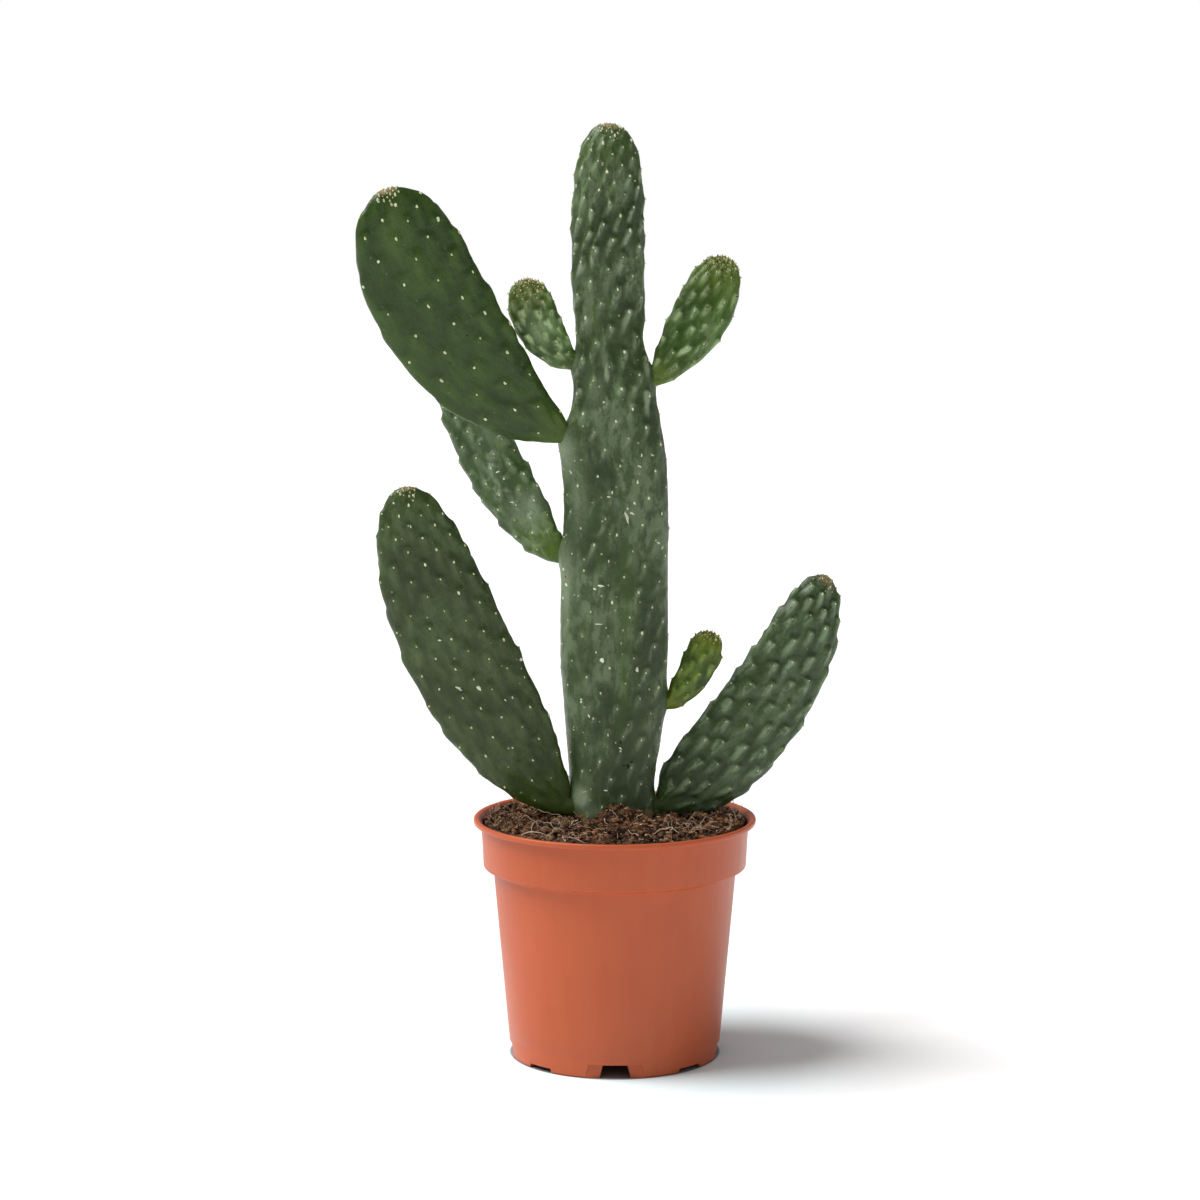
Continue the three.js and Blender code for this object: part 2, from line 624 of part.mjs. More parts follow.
function drainHole(angle) {
  const depth = 4 * POT_WALL;
  const geometry = new THREE.CylinderGeometry(DRAIN_RADIUS, DRAIN_RADIUS, depth, DRAIN_SIDES);
  geometry.rotateX(Math.PI / 2);
  geometry.translate(DRAIN_CIRCLE, 0, FLOOR_TOP);
  geometry.rotateZ(angle);
  return toSolid(geometry);
}

// The foot has four drain notches, each in a recessed panel, and four shallow slots between.
function potSolid() {
  let pot = toSolid(turned(potProfile()));
  const wall = FOOT_RADIUS - FOOT_ROUND - FOOT_LAND;
  const outer = BODY_FOOT_RADIUS + CUT_REACH;
  const inner = wall - PANEL_BACKING - CUT_REACH;
  const backing = { ...PANEL, height: FLOOR_TOP - POT_WALL / 2 };
  for (let i = 0; i < NOTCH_COUNT; i += 1) {
    const angle = (i / NOTCH_COUNT) * 2 * Math.PI;
    const between = angle + Math.PI / NOTCH_COUNT;
    pot = pot.add(footBlock(backing, wall - PANEL_BACKING, wall + FOOT_DRAFT, angle, 0));
    pot = pot.subtract(footBlock(PANEL, FOOT_RADIUS - FOOT_ROUND - PANEL_INSET, outer, angle, 1));
    pot = pot.subtract(footBlock(NOTCH, inner, outer, angle, 1));
    pot = pot.subtract(footBlock(SLOT, inner, outer, between, 1));
  }
  for (let i = 0; i < DRAIN_COUNT; i += 1) {
    pot = pot.subtract(drainHole(((i + 0.5) / DRAIN_COUNT) * 2 * Math.PI));
  }
  return pot;
}

// ---------------------------------------------------------------- compost

// Height of the compost: a mound round the trunk, with broad and small lumps that fade out
// towards a level edge. The waves of the lumps cross at odd angles, so they don't repeat.
function soilHeight(x, y) {
  const radius = Math.hypot(x, y);
  const mound = SOIL_MOUND * Math.exp(-((radius / SOIL_MOUND_RADIUS) ** 2));
  const broad = Math.sin(0.19 * x + 1.3) * Math.cos(0.23 * y - 0.4);
  const small = Math.sin(0.53 * x - 0.61 * y) * Math.cos(0.47 * x + 0.39 * y + 0.8);
  return SOIL_EDGE + mound + SOIL_LUMP * (1 - ease(...SOIL_CALM, radius)) * (broad + small);
}

// The compost fills the pot. Its top starts as a flat disc just over the edge, and each point of
// the disc is then set to its height.
function soilSolid() {
  const wall = innerWall(SOIL_EDGE, SOIL_WALL_GAP).reverse();
  const edge = wall[wall.length - 1].x;
  const profile = [new THREE.Vector2(0, wall[0].y), ...wall];
  for (let i = 1; i <= SOIL_RINGS; i += 1) {
    profile.push(new THREE.Vector2(edge * (1 - i / SOIL_RINGS), SOIL_EDGE + 1));
  }
  const geometry = turned(profile);
  const position = geometry.getAttribute('position');
  for (let i = 0; i < position.count; i += 1) {
    const onTop = position.getZ(i) > SOIL_EDGE + 0.5;
    if (onTop) position.setZ(i, soilHeight(position.getX(i), position.getY(i)));
  }
  return toSolid(geometry);
}

// ---------------------------------------------------------------- materials

const paint = (color, roughness) => (
  new THREE.MeshStandardMaterial({ color, roughness, metalness: 0 })
);

const potPlastic = () => paint(0xbe5f41, 0.42);
const compost = () => paint(0x4a2c20, 0.95);
const matureSkin = () => paint(0x46583a, 0.5);
const youngSkin = () => paint(0x567028, 0.45);

// ---------------------------------------------------------------- assembly

function piece(name, solid, material) {
  const mesh = new THREE.Mesh(toGeometry(solid), material);
  mesh.name = name;
  return mesh;
}

// The trunk, the paddles cut to sit on it, and the compost cut to stand clear of both.
function plantPieces() {
  const trunk = trunkStem();
  const trunkAreoles = areolesOf(trunk);
  const trunkSeat = skinSolid(trunk, trunkAreoles, GAP);
  const pieces = [piece('trunk', skinSolid(trunk, trunkAreoles, 0), matureSkin())];
  let soil = soilSolid().subtract(trunkSeat);
  for (const pad of PADS) {
    const stem = paddleStem(pad);
    const areoles = areolesOf(stem);
    const seated = largestBody(skinSolid(stem, areoles, 0).subtract(trunkSeat));
    const skin = pad.width < YOUNG_WIDTH ? youngSkin() : matureSkin();
    pieces.push(piece(pad.name, seated, skin));
    soil = soil.subtract(skinSolid(stem, areoles, GAP));
  }
  pieces.push(piece('potting_soil', largestBody(soil), compost()));
  return pieces;
}

const plant = new THREE.Group();
plant.name = 'potted_paddle_cactus';
plant.add(piece('pot', potSolid(), potPlastic()), ...plantPieces());

// The origin goes to the middle of the outline, on the standing surface.
const outline = new THREE.Box3().setFromObject(plant);
const middle = outline.getCenter(new THREE.Vector3());
plant.position.set(-middle.x, -middle.y, -outline.min.z);
plant.updateMatrixWorld(true);

export default plant;
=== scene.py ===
"""Potted paddle cactus: the looks of a flat-stemmed cactus in a plastic nursery pot.

Laid out as an add-on and run as a script. Lengths inside the shape functions are millimetres round the
pot's axis, as on the maker's drawing; new_piece() turns them into metres in the frame's own place.
"""

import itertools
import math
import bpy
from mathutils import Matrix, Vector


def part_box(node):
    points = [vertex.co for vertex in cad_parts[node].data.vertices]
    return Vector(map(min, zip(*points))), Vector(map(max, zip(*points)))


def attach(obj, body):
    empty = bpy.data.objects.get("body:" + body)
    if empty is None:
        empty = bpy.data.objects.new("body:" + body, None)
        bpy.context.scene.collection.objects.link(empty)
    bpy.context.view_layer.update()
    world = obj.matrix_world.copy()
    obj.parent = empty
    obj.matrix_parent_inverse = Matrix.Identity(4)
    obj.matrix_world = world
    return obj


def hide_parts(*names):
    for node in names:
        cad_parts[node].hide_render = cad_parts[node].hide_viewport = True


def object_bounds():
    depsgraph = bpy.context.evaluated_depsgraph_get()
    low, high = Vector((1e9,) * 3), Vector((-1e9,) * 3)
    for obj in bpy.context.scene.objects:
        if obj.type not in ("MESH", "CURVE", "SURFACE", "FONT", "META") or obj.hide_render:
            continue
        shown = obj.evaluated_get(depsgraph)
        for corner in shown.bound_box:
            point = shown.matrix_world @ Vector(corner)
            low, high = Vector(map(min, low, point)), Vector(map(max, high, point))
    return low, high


bl_info = {
    "name": "Potted paddle cactus",
    "version": (1, 0, 0),
    "blender": (4, 5, 0),
    "location": "View3D > Sidebar > Cactus",
    "description": "Dresses the packed cactus with its skin, areoles, compost and pot",
    "category": "Object",
}

import bmesh
import bpy
import numpy as np
from bpy.props import FloatProperty, FloatVectorProperty, IntProperty, PointerProperty

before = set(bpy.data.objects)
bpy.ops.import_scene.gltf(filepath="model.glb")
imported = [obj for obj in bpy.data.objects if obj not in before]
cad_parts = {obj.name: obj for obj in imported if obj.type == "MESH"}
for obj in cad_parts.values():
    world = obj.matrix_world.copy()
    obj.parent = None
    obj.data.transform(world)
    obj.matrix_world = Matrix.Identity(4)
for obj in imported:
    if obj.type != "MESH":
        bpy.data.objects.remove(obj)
CAD_BOX = [list(corner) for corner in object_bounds()]
POT_LOW, POT_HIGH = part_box("pot")
POT_AXIS_X = (POT_LOW.x + POT_HIGH.x) / 2

# ------------------------------------------------------------------ sizes of the plant

SOIL_EDGE = 143
SOIL_MOUND = 4.4
SOIL_MOUND_RADIUS = 46
SOIL_LUMP = 1.1
SOIL_CALM = (66, 78)

TRUNK_FOOT = 112
TRUNK_TIP = 557.4
TRUNK_STATIONS = (  # height, centre to the right, centre to the back, half width, half depth
    (112, -1.4, 0, 21, 15.5),
    (138, -1.4, 0, 24.2, 18),
    (170, -1.5, 0, 25.8, 18.6),
    (201, -0.4, 0, 29.4, 18.4),
    (245, -0.5, 0, 32.1, 18),
    (290, -0.2, 0, 31.8, 17.4),
    (340, 0.6, 0, 31, 16.6),
    (367, -1.2, 0, 30.8, 15.8),
    (390, -0.3, 0, 25.8, 14.6),
    (412, -1.2, 0.5, 22.6, 12.8),
    (431, -2.9, 1, 19.5, 11.2),
    (455, -3.7, 1.5, 21.2, 11.4),
    (490, -4.3, 1, 21.1, 11),
    (557.4, -3.8, -1, 21, 10.4),
)
TRUNK_BLUNT = 27
TRUNK_SQUARENESS = 1.85
TRUNK_AREOLES = dict(seed=5, spacing=14.5, relief=2.1, breadth=0.16, drop=0.5, skew=0.38, rim=-0.5)
TRUNK_VIGOUR = (0.3, 0.5, 0.78)  # its relief at the foot, and the shares of height where it grows by 1
SHOULDER_HEIGHT = 3.2
SHOULDER_RADIUS = 8.5
WIDTH_ROUNDING = 0.5
DEPTH_ROUNDING = 0.39
NECK_DEPTH_SHARE = 0.62
PAD_SQUARENESS = 2.3
PAD_BARE = 0.045

# Paddles: root inside the trunk, base, tip, then the numbers of their outline and their areoles
PADS = {
    "pad_upper_left": dict(
        seed=11, root=(-21, 0, 365), base=(-30.5, -2, 374.5), tip=(-128.3, -46.3, 519.9), width=67.2,
        thick=15, neck=0.14, flare=3.7, blunt=6.6, bend=-20.6, roll=10, relief=1.1, spacing=18.6,
        breadth=0.26, drop=0.3, skew=0.1, rim=1.0),
    "pad_behind_left": dict(
        seed=23, root=(-19, 0, 300), base=(-35.5, 2, 303.2), tip=(-103.8, 40, 426.3), width=34.6,
        thick=13, neck=0.33, flare=5.9, blunt=3.8, bend=-7.1, roll=-8, relief=1.3, spacing=10.6,
        breadth=0.28, drop=0.24, skew=0.0, rim=0.6),
    "pad_lower_left": dict(
        seed=37, root=(-18, -2, 150), base=(-33.5, -4, 152.8), tip=(-123.6, -33.6, 347), width=63,
        thick=16, neck=0.25, flare=5.3, blunt=4.7, bend=-13.4, roll=6, relief=1.4, spacing=14.4,
        breadth=0.2, drop=0.34, skew=0.0, rim=0.6),
    "pad_lower_right": dict(
        seed=41, root=(16, 1, 147), base=(29, 2, 150.3), tip=(127.6, 33.4, 287.4), width=54.2,
        thick=16, neck=0.29, flare=8.7, blunt=3.9, bend=16, roll=12, relief=2.4, spacing=13.6,
        breadth=0.2, drop=0.22, skew=0.12, rim=0.0),
    "pad_small_left": dict(
        seed=53, root=(-17, 1, 406), base=(-23.6, 0, 416.1), tip=(-52.3, -9.8, 466.7), width=27.2,
        thick=10, neck=0.23, flare=3.5, blunt=7.2, bend=-6.9, roll=8, relief=1.1, spacing=8.3,
        breadth=0.3, drop=0.4, skew=0.0, rim=0.2),
    "pad_small_right": dict(
        seed=67, root=(14, -2, 405), base=(25.6, 0, 409.8), tip=(64.7, 17.6, 479.5), width=33.6,
        thick=11, neck=0.34, flare=3.5, blunt=5.6, bend=5, roll=-8, relief=1.6, spacing=10.2,
        breadth=0.18, drop=0.36, skew=0.15, rim=0.0),
    "pad_small_lower_right": dict(
        seed=79, root=(20, -1, 211.5), base=(34.2, -2, 214.8), tip=(57, 7.8, 256), width=21,
        thick=9, neck=0.42, flare=3.9, blunt=8.5, bend=3.8, roll=6, relief=1.0, spacing=9.0,
        breadth=0.22, drop=0.3, skew=0.1, rim=0.5),
}
AREOLE_NUMBERS = ("seed", "spacing", "relief", "breadth", "drop", "skew", "rim")
YOUNG = ("pad_small_left", "pad_small_right", "pad_small_lower_right")

GOLDEN_TURN = 0.381966
PATCH_SHARE = 0.866
TIP_CROWDING = 0.42
YOUNG_CROWDING = 0.62
CROWDING_START = 0.72
RANK_DRIFT = 0.24
TURN_DRIFT = 0.16
SIZE_DRIFT = 0.4
JOINT_MARGIN = 5
JOINING = 6
EDGE_NARROWNESS = 6
TIP_CALM = 0.5
TIP_START = 0.9
POLE_CALM = 3  # mm of smooth skin round a stem's very tip
CLIMB = 1.25  # length of a tubercle, as a share of the distance between areoles
TUBERCLE_REACH = 1.6  # no tubercle is felt beyond it, in the same shares
DIMPLE_PLACE, DIMPLE_LENGTH, DIMPLE_WIDTH = 0.26, 0.13, 0.17  # in the same shares
DIMPLE_DEPTH = 0.16  # as a share of the relief
# Slow noise that moves the tubercles along and round the stem: shares, waves in a mm, seed
DRIFT, SWAY = (0.14, 0.16, 31), (0.1, 0.14, 47)
RIPPLES = ((0.3, (0.15, 0.15, 0.035)), (0.13, (0.3, 0.3, 0.3)))  # height in mm, waves in a mm
TIP_CREST = 0.3  # share of wax at the very tip
GIRTH_STEPS = 256
SURVEY_SIDES = 48
STATIONS = 240

# ------------------------------------------------------------------ small numeric helpers


def chance(n):
    """A repeatable random number from 0 to 1: the fraction of a large multiple of a sine."""
    value = np.sin(n * 12.9898) * 43758.5453
    return value - np.floor(value)


def ease(low, high, x):
    """Rises from 0 at low to 1 at high along the cubic 3t^2 - 2t^3."""
    t = np.clip((x - low) / (high - low), 0, 1)
    return t * t * (3 - 2 * t)


def power(x, exponent):
    """A power of the size of x that keeps its sign."""
    return np.sign(x) * np.abs(x) ** exponent


def unit(vectors):
    """Each vector divided by its length."""
    return vectors / np.maximum(np.linalg.norm(vectors, axis=-1, keepdims=True), 1e-12)


def half_turn(turn):
    """A turn brought to between -0.5 and 0.5."""
    return turn + 0.5 - np.floor(turn + 0.5) - 0.5


def lattice_noise(points, seed=0.0):
    """Smooth noise from -1 to 1: a random value at each corner of a unit grid, eased between them."""
    cell = np.floor(points)
    part = points - cell
    part = part * part * (3 - 2 * part)
    total = 0
    for corner in itertools.product((0, 1), repeat=3):
        weight = np.prod(np.where(corner, part, 1 - part), axis=-1)
        at = cell + corner
        total = total + weight * chance(at[..., 0] + 57.3 * at[..., 1] + 113.7 * at[..., 2] + seed)
    return 2 * total - 1


def shade(red, green, blue):
    """A screen colour of 0 to 255 as the linear colour that the shaders use."""
    share = np.array([red, green, blue]) / 255
    linear = np.where(share <= 0.04045, share / 12.92, ((share + 0.055) / 1.055) ** 2.4)
    return tuple(float(v) for v in linear)


# ------------------------------------------------------------------ meshes


def rings_to_faces(rows, columns):
    """Faces of a closed skin: quads from ring to ring, and triangles to a pole before and after.

    The points are ordered: first pole, ring by ring, last pole.
    """
    row, column = np.meshgrid(np.arange(rows - 1), np.arange(columns), indexing="ij")
    after = (column + 1) % columns
    quads = np.stack([row * columns + column, row * columns + after,
                      (row + 1) * columns + after, (row + 1) * columns + column], -1)
    ring = np.arange(columns)
    following = (ring + 1) % columns
    last = 1 + (rows - 1) * columns
    first_fan = np.stack([0 * ring, following + 1, ring + 1], -1)
    last_fan = np.stack([0 * ring + last + columns, ring + last, following + last], -1)
    return [quads.reshape(-1, 4) + 1, first_fan, last_fan]


def around_axis(radius, turn, z):
    """Points at a distance, a turn and a height from an upright axis."""
    radius, turn, z = np.broadcast_arrays(radius, turn, z)
    return np.stack([radius * np.cos(turn), radius * np.sin(turn), z], -1)


def closed(rings, first, last):
    """The points of a skin of rings with a pole before and after them, and its faces."""
    points = np.concatenate([[first], rings.reshape(-1, 3), [last]])
    return points, rings_to_faces(*rings.shape[:2])


def signed_volume(points, faces):
    """Sum of the volumes of the cones from the origin to each face, positive when faces look out."""
    total = 0.0
    for group in faces:
        for i in range(1, group.shape[1] - 1):
            a, b, c = points[group[:, 0]], points[group[:, i]], points[group[:, i + 1]]
            total += float(np.einsum("ij,ij->", a, np.cross(b, c)))
    return total


def repeated(template, faces, count):
    """The faces of one small shape, numbered on for count copies of it."""
    shift = np.arange(count)[:, None, None] * len(template)
    return [(group[None] + shift).reshape(-1, group.shape[1]) for group in faces]


def new_piece(name, points, faces, material, slot, body="root", **attributes):
    """Makes a mesh object from points in millimetres round the pot's axis, and lets it ride."""
    if len(points) == 0:
        raise ValueError(f"{name} has nothing in it")
    if signed_volume(points - points.mean(0), faces) < 0:
        faces = [group[:, ::-1] for group in faces]
    metres = points / 1000 + np.array([POT_AXIS_X, 0, 0])
    metres = np.clip(metres, CAD_BOX[0], CAD_BOX[1])
    mesh = bpy.data.meshes.new(name)
    mesh.vertices.add(len(metres))
    mesh.vertices.foreach_set("co", metres.astype(np.float32).ravel())
    corners = np.concatenate([group.ravel() for group in faces]).astype(np.int32)
    sizes = np.concatenate([np.full(len(group), group.shape[1]) for group in faces])
    mesh.loops.add(len(corners))
    mesh.loops.foreach_set("vertex_index", corners)
    mesh.polygons.add(len(sizes))
    mesh.polygons.foreach_set("loop_start", (np.cumsum(sizes) - sizes).astype(np.int32))
    mesh.update(calc_edges=True)
    mesh.polygons.foreach_set("use_smooth", np.ones(len(sizes), bool))
    for key, values in attributes.items():
        kind, field = ("FLOAT_VECTOR", "vector") if values.ndim == 2 else ("FLOAT", "value")
        layer = mesh.attributes.new(key, kind, "POINT")
        layer.data.foreach_set(field, values.astype(np.float32).ravel())
    mesh.materials.append(material)
    piece = bpy.data.objects.new(name, mesh)
    bpy.context.collection.objects.link(piece)
    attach(piece, body)
    return piece


# ------------------------------------------------------------------ the form of a stem


def trunk_values(height):
    """Centre and half sizes of the trunk by height: a cubic through the stations.

    The slope at a station is that of the chord between its two neighbours, and the two ends are
    left uncurved.
    """
    rows = np.array(TRUNK_STATIONS, float)
    heights, values = rows[:, 0], rows[:, 1:]
    last = len(heights) - 1
    high = np.clip(np.searchsorted(heights, height, side="right"), 1, last)
    low = high - 1
    before = np.where(low > 0, low - 1, high)
    after = np.where(high < last, high + 1, low)
    half = (heights[high] - heights[low]) / 2
    pull_back = half / (heights[low] - heights[before])
    pull_on = half / (heights[after] - heights[high])
    p = (height - heights[low]) / (heights[high] - heights[low])
    weights = (
        -pull_back * p**3 + 2 * pull_back * p**2 - pull_back * p,
        (1 + pull_back) * p**3 - (1.5 + 2 * pull_back) * p**2 + (pull_back - 0.5) * p + 1,
        (-1 - pull_on) * p**3 + (1.5 + pull_on) * p**2 + 0.5 * p,
        pull_on * p**3 - pull_on * p**2,
    )
    parts = zip(weights, (before, low, high, after))
    return sum(weight[..., None] * values[index] for weight, index in parts)


def tip_closing(s, blunt):
    """Falls from 1 to 0 at a tip: one less a high power of the share of the length."""
    return np.maximum(0, 1 - np.maximum(s, 0) ** blunt)


class Stem:
    """The trunk or a paddle, as a surface over s, its length from 0 to 1, and turn, its girth."""

    def __init__(self, **numbers):
        self.__dict__.update(numbers)
        self.girth_angles = np.linspace(0, 2 * np.pi, GIRTH_STEPS + 1)
        x = self.aspect * power(np.cos(self.girth_angles), 2 / self.squareness)
        y = power(np.sin(self.girth_angles), 2 / self.squareness)
        self.girth_steps = np.append(0, np.cumsum(np.hypot(np.diff(x), np.diff(y))))
        self.girth_steps /= self.girth_steps[-1]
        self.survey()
        self.place_areoles()

    def angle(self, turn):
        """Angle round the section at a fraction of its girth."""
        return np.interp(turn - np.floor(turn), self.girth_steps, self.girth_angles)

    def spread(self, s):
        """Distance between areoles, which close up towards the tip."""
        return self.spacing * (1 - self.crowding * ease(CROWDING_START, 1, s))

    def bare(self, s, turn):
        """Smooth skin: a rounded box section, half and deep wide, square to the middle line."""
        centre, side, front, half, deep = self.section(s)
        angle = self.angle(turn)
        out = half * power(np.cos(angle), 2 / self.squareness)
        ahead = deep * power(np.sin(angle), 2 / self.squareness)
        return centre + out[..., None] * side + ahead[..., None] * front

    def directions(self, s, turn):
        """Unit vectors tipwards along the skin, round it, and out of it, from small steps."""
        step = 2e-3
        high = np.minimum(s + step, 1)
        along = self.bare(high, turn) - self.bare(high - 2 * step, turn)
        around = self.bare(s, turn + step) - self.bare(s, turn - step)
        outwards = unit(np.cross(along, around))
        return unit(along), unit(around), outwards

    def survey(self):
        """Girth, skin length and number of areoles at stations from root to tip."""
        share = 1 - (1 - np.arange(STATIONS) / STATIONS) ** 2
        s = self.start + (1 - self.start) * share
        loop = self.bare(s[:, None], np.arange(SURVEY_SIDES + 1)[None] / SURVEY_SIDES)
        self.station_girth = np.linalg.norm(np.diff(loop, axis=1), axis=-1).sum(1)
        mean = (self.station_girth[1:] + self.station_girth[:-1]) / 2
        rise = np.hypot(np.diff(s) * self.length, np.diff(self.station_girth) / (2 * np.pi))
        held = rise * mean / (PATCH_SHARE * self.spread(s[1:]) ** 2)
        self.station_s = s
        self.station_rise = np.append(0, np.cumsum(rise))
        self.station_count = np.append(0, np.cumsum(np.where(s[1:] > self.bare_below, held, 0)))

    def place_areoles(self):
        """Areoles a golden turn apart up one spiral, each moved a little by chance."""
        k = np.arange(int(self.station_count[-1]))
        rank = k + 0.5 + RANK_DRIFT * (chance(k + self.seed) - 0.5)
        s = np.interp(rank, self.station_count, self.station_s)
        girth = np.interp(rank, self.station_count, self.station_girth)
        wander = TURN_DRIFT * self.spread(s) / girth
        turn = k * GOLDEN_TURN + wander * (chance(k + self.seed + 0.5) - 0.5)
        clear = np.ones(len(k), bool)
        for point, radius in self.joints:
            clear &= np.linalg.norm(self.bare(s, turn) - point, axis=-1) > radius + JOINT_MARGIN
        self.areole_k, self.areole_s = k[clear], s[clear]
        self.areole_turn, self.areole_girth = turn[clear], girth[clear]

    def crest(self, s, turn):
        """Tubercles from 0 to 1: each climbs as a leaning ridge to its areole and drops beyond it.

        They join as the sixth root of the sum of their sixth powers, and chance gives each its
        height. Also gives the dimples from 0 to 1 that lie just beyond the areoles.
        """
        spread = self.spread(s)
        place = self.place(s, turn)
        drift, sway = (share * lattice_noise(place * pace, seed) for share, pace, seed in (DRIFT, SWAY))
        heaped = np.zeros(s.shape)
        deepest = np.zeros(s.shape)
        size = 1 - SIZE_DRIFT * chance(self.areole_k + self.seed + 0.25)
        for at_s, at_turn, girth, high in zip(self.areole_s, self.areole_turn, self.areole_girth, size):
            near = np.flatnonzero(np.abs(s[:, 0] - at_s) * self.length < TUBERCLE_REACH * self.spacing)
            along = (s[near] - at_s) * self.length / spread[near] + drift[near]
            across = half_turn(turn[near] - at_turn) * girth / spread[near] + sway[near]
            climb = ease(-CLIMB, 0, along)
            drop = np.exp(-((np.maximum(along, 0) / self.drop) ** 2))
            flank = np.exp(-(((across + self.skew * np.minimum(along, 0)) / self.breadth) ** 2))
            heaped[near] += (high * climb * drop * flank) ** JOINING
            hole = ((along - DIMPLE_PLACE) / DIMPLE_LENGTH) ** 2 + (across / DIMPLE_WIDTH) ** 2
            deepest[near] = np.maximum(deepest[near], np.exp(-hole))
        return heaped ** (1 / JOINING), deepest

    def lifted(self, s, turn, lift=0.0):
        """Skin with its tubercles, dimples, shoulders and ripples, and lift above it. Also the crest.

        The tubercles are flatter towards the tip and at its very end, and change by rim on the two
        edges. A shoulder is a bell of the distance from the middle of a joint.
        """
        bare = self.bare(s, turn)
        outwards = self.directions(s, turn)[2]
        crest, dimple = self.crest(s, turn)
        towards_tip = ease(TIP_START, 1, s)
        pole = ease(0, POLE_CALM, (1 - s) * self.length)
        rise = self.relief * self.vigour(s) * crest * (1 - TIP_CALM * towards_tip) * pole
        rise = rise - DIMPLE_DEPTH * self.relief * dimple * (1 - towards_tip)
        rise = rise * (1 + self.rim * np.abs(np.cos(self.angle(turn))) ** EDGE_NARROWNESS)
        shoulder = np.zeros(s.shape)
        for point, _ in self.joints:
            far = np.linalg.norm(bare - point, axis=-1)
            shoulder = np.maximum(shoulder, np.exp(-((far / SHOULDER_RADIUS) ** 2)))
        place = self.place(s, turn)
        ripple = sum(high * lattice_noise(place * pace) for high, pace in RIPPLES)
        raised = rise + SHOULDER_HEIGHT * shoulder + ripple + lift
        # The crest given back, less the dimples and fainter where the relief is low, sets the skin's painted
        # shade in hollows and its wax and painted highlight on crests.
        shown = np.minimum(1, 0.25 + self.vigour(s))
        return bare + outwards * raised[..., None], (crest - dimple) * shown

    def place(self, s, turn):
        """A point's place in the stem laid out straight: to its side, to its front, along it."""
        _, _, _, half, deep = self.section(s)
        angle = self.angle(turn)
        shift = np.broadcast_to(s * self.length, half.shape)
        return np.stack([half * np.cos(angle), deep * np.sin(angle), shift], -1) + self.seed * 3.7


def trunk_stem():
    """The trunk: upright sections whose sizes follow the stations, closed at a blunt tip."""
    length = TRUNK_TIP - TRUNK_FOOT

    def section(s):
        height = TRUNK_FOOT + length * s
        values = trunk_values(height)
        closing = tip_closing(s, TRUNK_BLUNT)
        centre = np.stack([values[..., 0], values[..., 1], height], -1)
        half = values[..., 2] * closing**WIDTH_ROUNDING
        deep = values[..., 3] * closing**DEPTH_ROUNDING
        return centre, np.array([1.0, 0, 0]), np.array([0, -1.0, 0]), half, deep

    middle = trunk_values(np.array((TRUNK_FOOT + TRUNK_TIP) / 2))
    joints = [(np.array(pad["base"], float), pad["width"] * pad["neck"] / 2) for pad in PADS.values()]
    return Stem(
        section=section, squareness=TRUNK_SQUARENESS, aspect=middle[2] / middle[3], start=0.0,
        length=length, joints=joints, crowding=TIP_CROWDING,
        bare_below=(SOIL_EDGE + SOIL_MOUND - TRUNK_FOOT) / length,
        vigour=lambda s: TRUNK_VIGOUR[0] + ease(*TRUNK_VIGOUR[1:], s), **TRUNK_AREOLES)


def paddle_stem(name, pad):
    """A paddle: sections square to a middle line that bows sideways in a parabola."""
    base, tip, root = (np.array(pad[key], float) for key in ("base", "tip", "root"))
    reach = tip - base
    length = np.linalg.norm(reach)
    axis = reach / length
    front = unit(np.array([0, -1.0, 0]) + axis[1] * axis)
    side = np.cross(axis, front)
    roll = math.radians(pad["roll"])
    front = front * math.cos(roll) + side * math.sin(roll)
    side = np.cross(axis, front)
    start = -np.linalg.norm(base - root) / length

    def swell(s):
        flared = 1 - (1 - pad["neck"]) * (1 - s) ** pad["flare"]
        return flared * tip_closing(s, pad["blunt"]) ** WIDTH_ROUNDING

    peak = swell(np.linspace(0, 1, STATIONS + 1)).max()

    def section(s):
        along = np.maximum(s, 0)
        bow = pad["bend"] * 4 * along * (1 - along)
        centre = base + along[..., None] * reach + bow[..., None] * side
        centre = centre + np.where(s < 0, s / start, 0)[..., None] * (root - centre)
        lean = np.arctan2(pad["bend"] * 4 * (1 - 2 * along), length)[..., None]
        depth = 1 - (1 - NECK_DEPTH_SHARE) * (1 - along) ** 2
        deep = pad["thick"] / 2 * depth * tip_closing(along, pad["blunt"]) ** DEPTH_ROUNDING
        half = pad["width"] / 2 * swell(along) / peak
        return centre, side * np.cos(lean) - axis * np.sin(lean), front, half, deep

    return Stem(
        section=section, squareness=PAD_SQUARENESS, aspect=pad["width"] / pad["thick"], start=start,
        length=length, joints=[], crowding=YOUNG_CROWDING if name in YOUNG else TIP_CROWDING,
        bare_below=PAD_BARE, vigour=lambda s: 1.0, **{key: pad[key] for key in AREOLE_NUMBERS})


STEMS = {"trunk": trunk_stem(), **{name: paddle_stem(name, pad) for name, pad in PADS.items()}}
AGES = {name: "young" if name in YOUNG else "mature" for name in STEMS}


def stem_surface(stem, fineness):
    """Rings of skin points at even steps up the stem, closed by a point at each end.

    Also what its material reads at each point: length from 0 to 1, crest, and place laid out straight.
    """
    total = stem.station_rise[-1]
    rows = int(total / fineness)
    columns = int(stem.station_girth.max() / fineness)
    s = np.interp(np.linspace(0, total, rows), stem.station_rise, stem.station_s)
    s = np.repeat(s[:, None], columns, 1)
    turn = np.repeat(np.arange(columns)[None] / columns, rows, 0)
    rings, crest = stem.lifted(s, turn)
    place = stem.place(s, turn)
    points, faces = closed(rings, *(stem.section(np.array([at]))[0][0] for at in (stem.start, 1.0)))
    along = np.concatenate([[stem.start], s.ravel(), [1.0]])
    crest = np.concatenate([[0], crest.ravel(), [TIP_CREST]])
    place, _ = closed(place, place[0].mean(0), place[-1].mean(0))
    return points, faces, along, crest, place


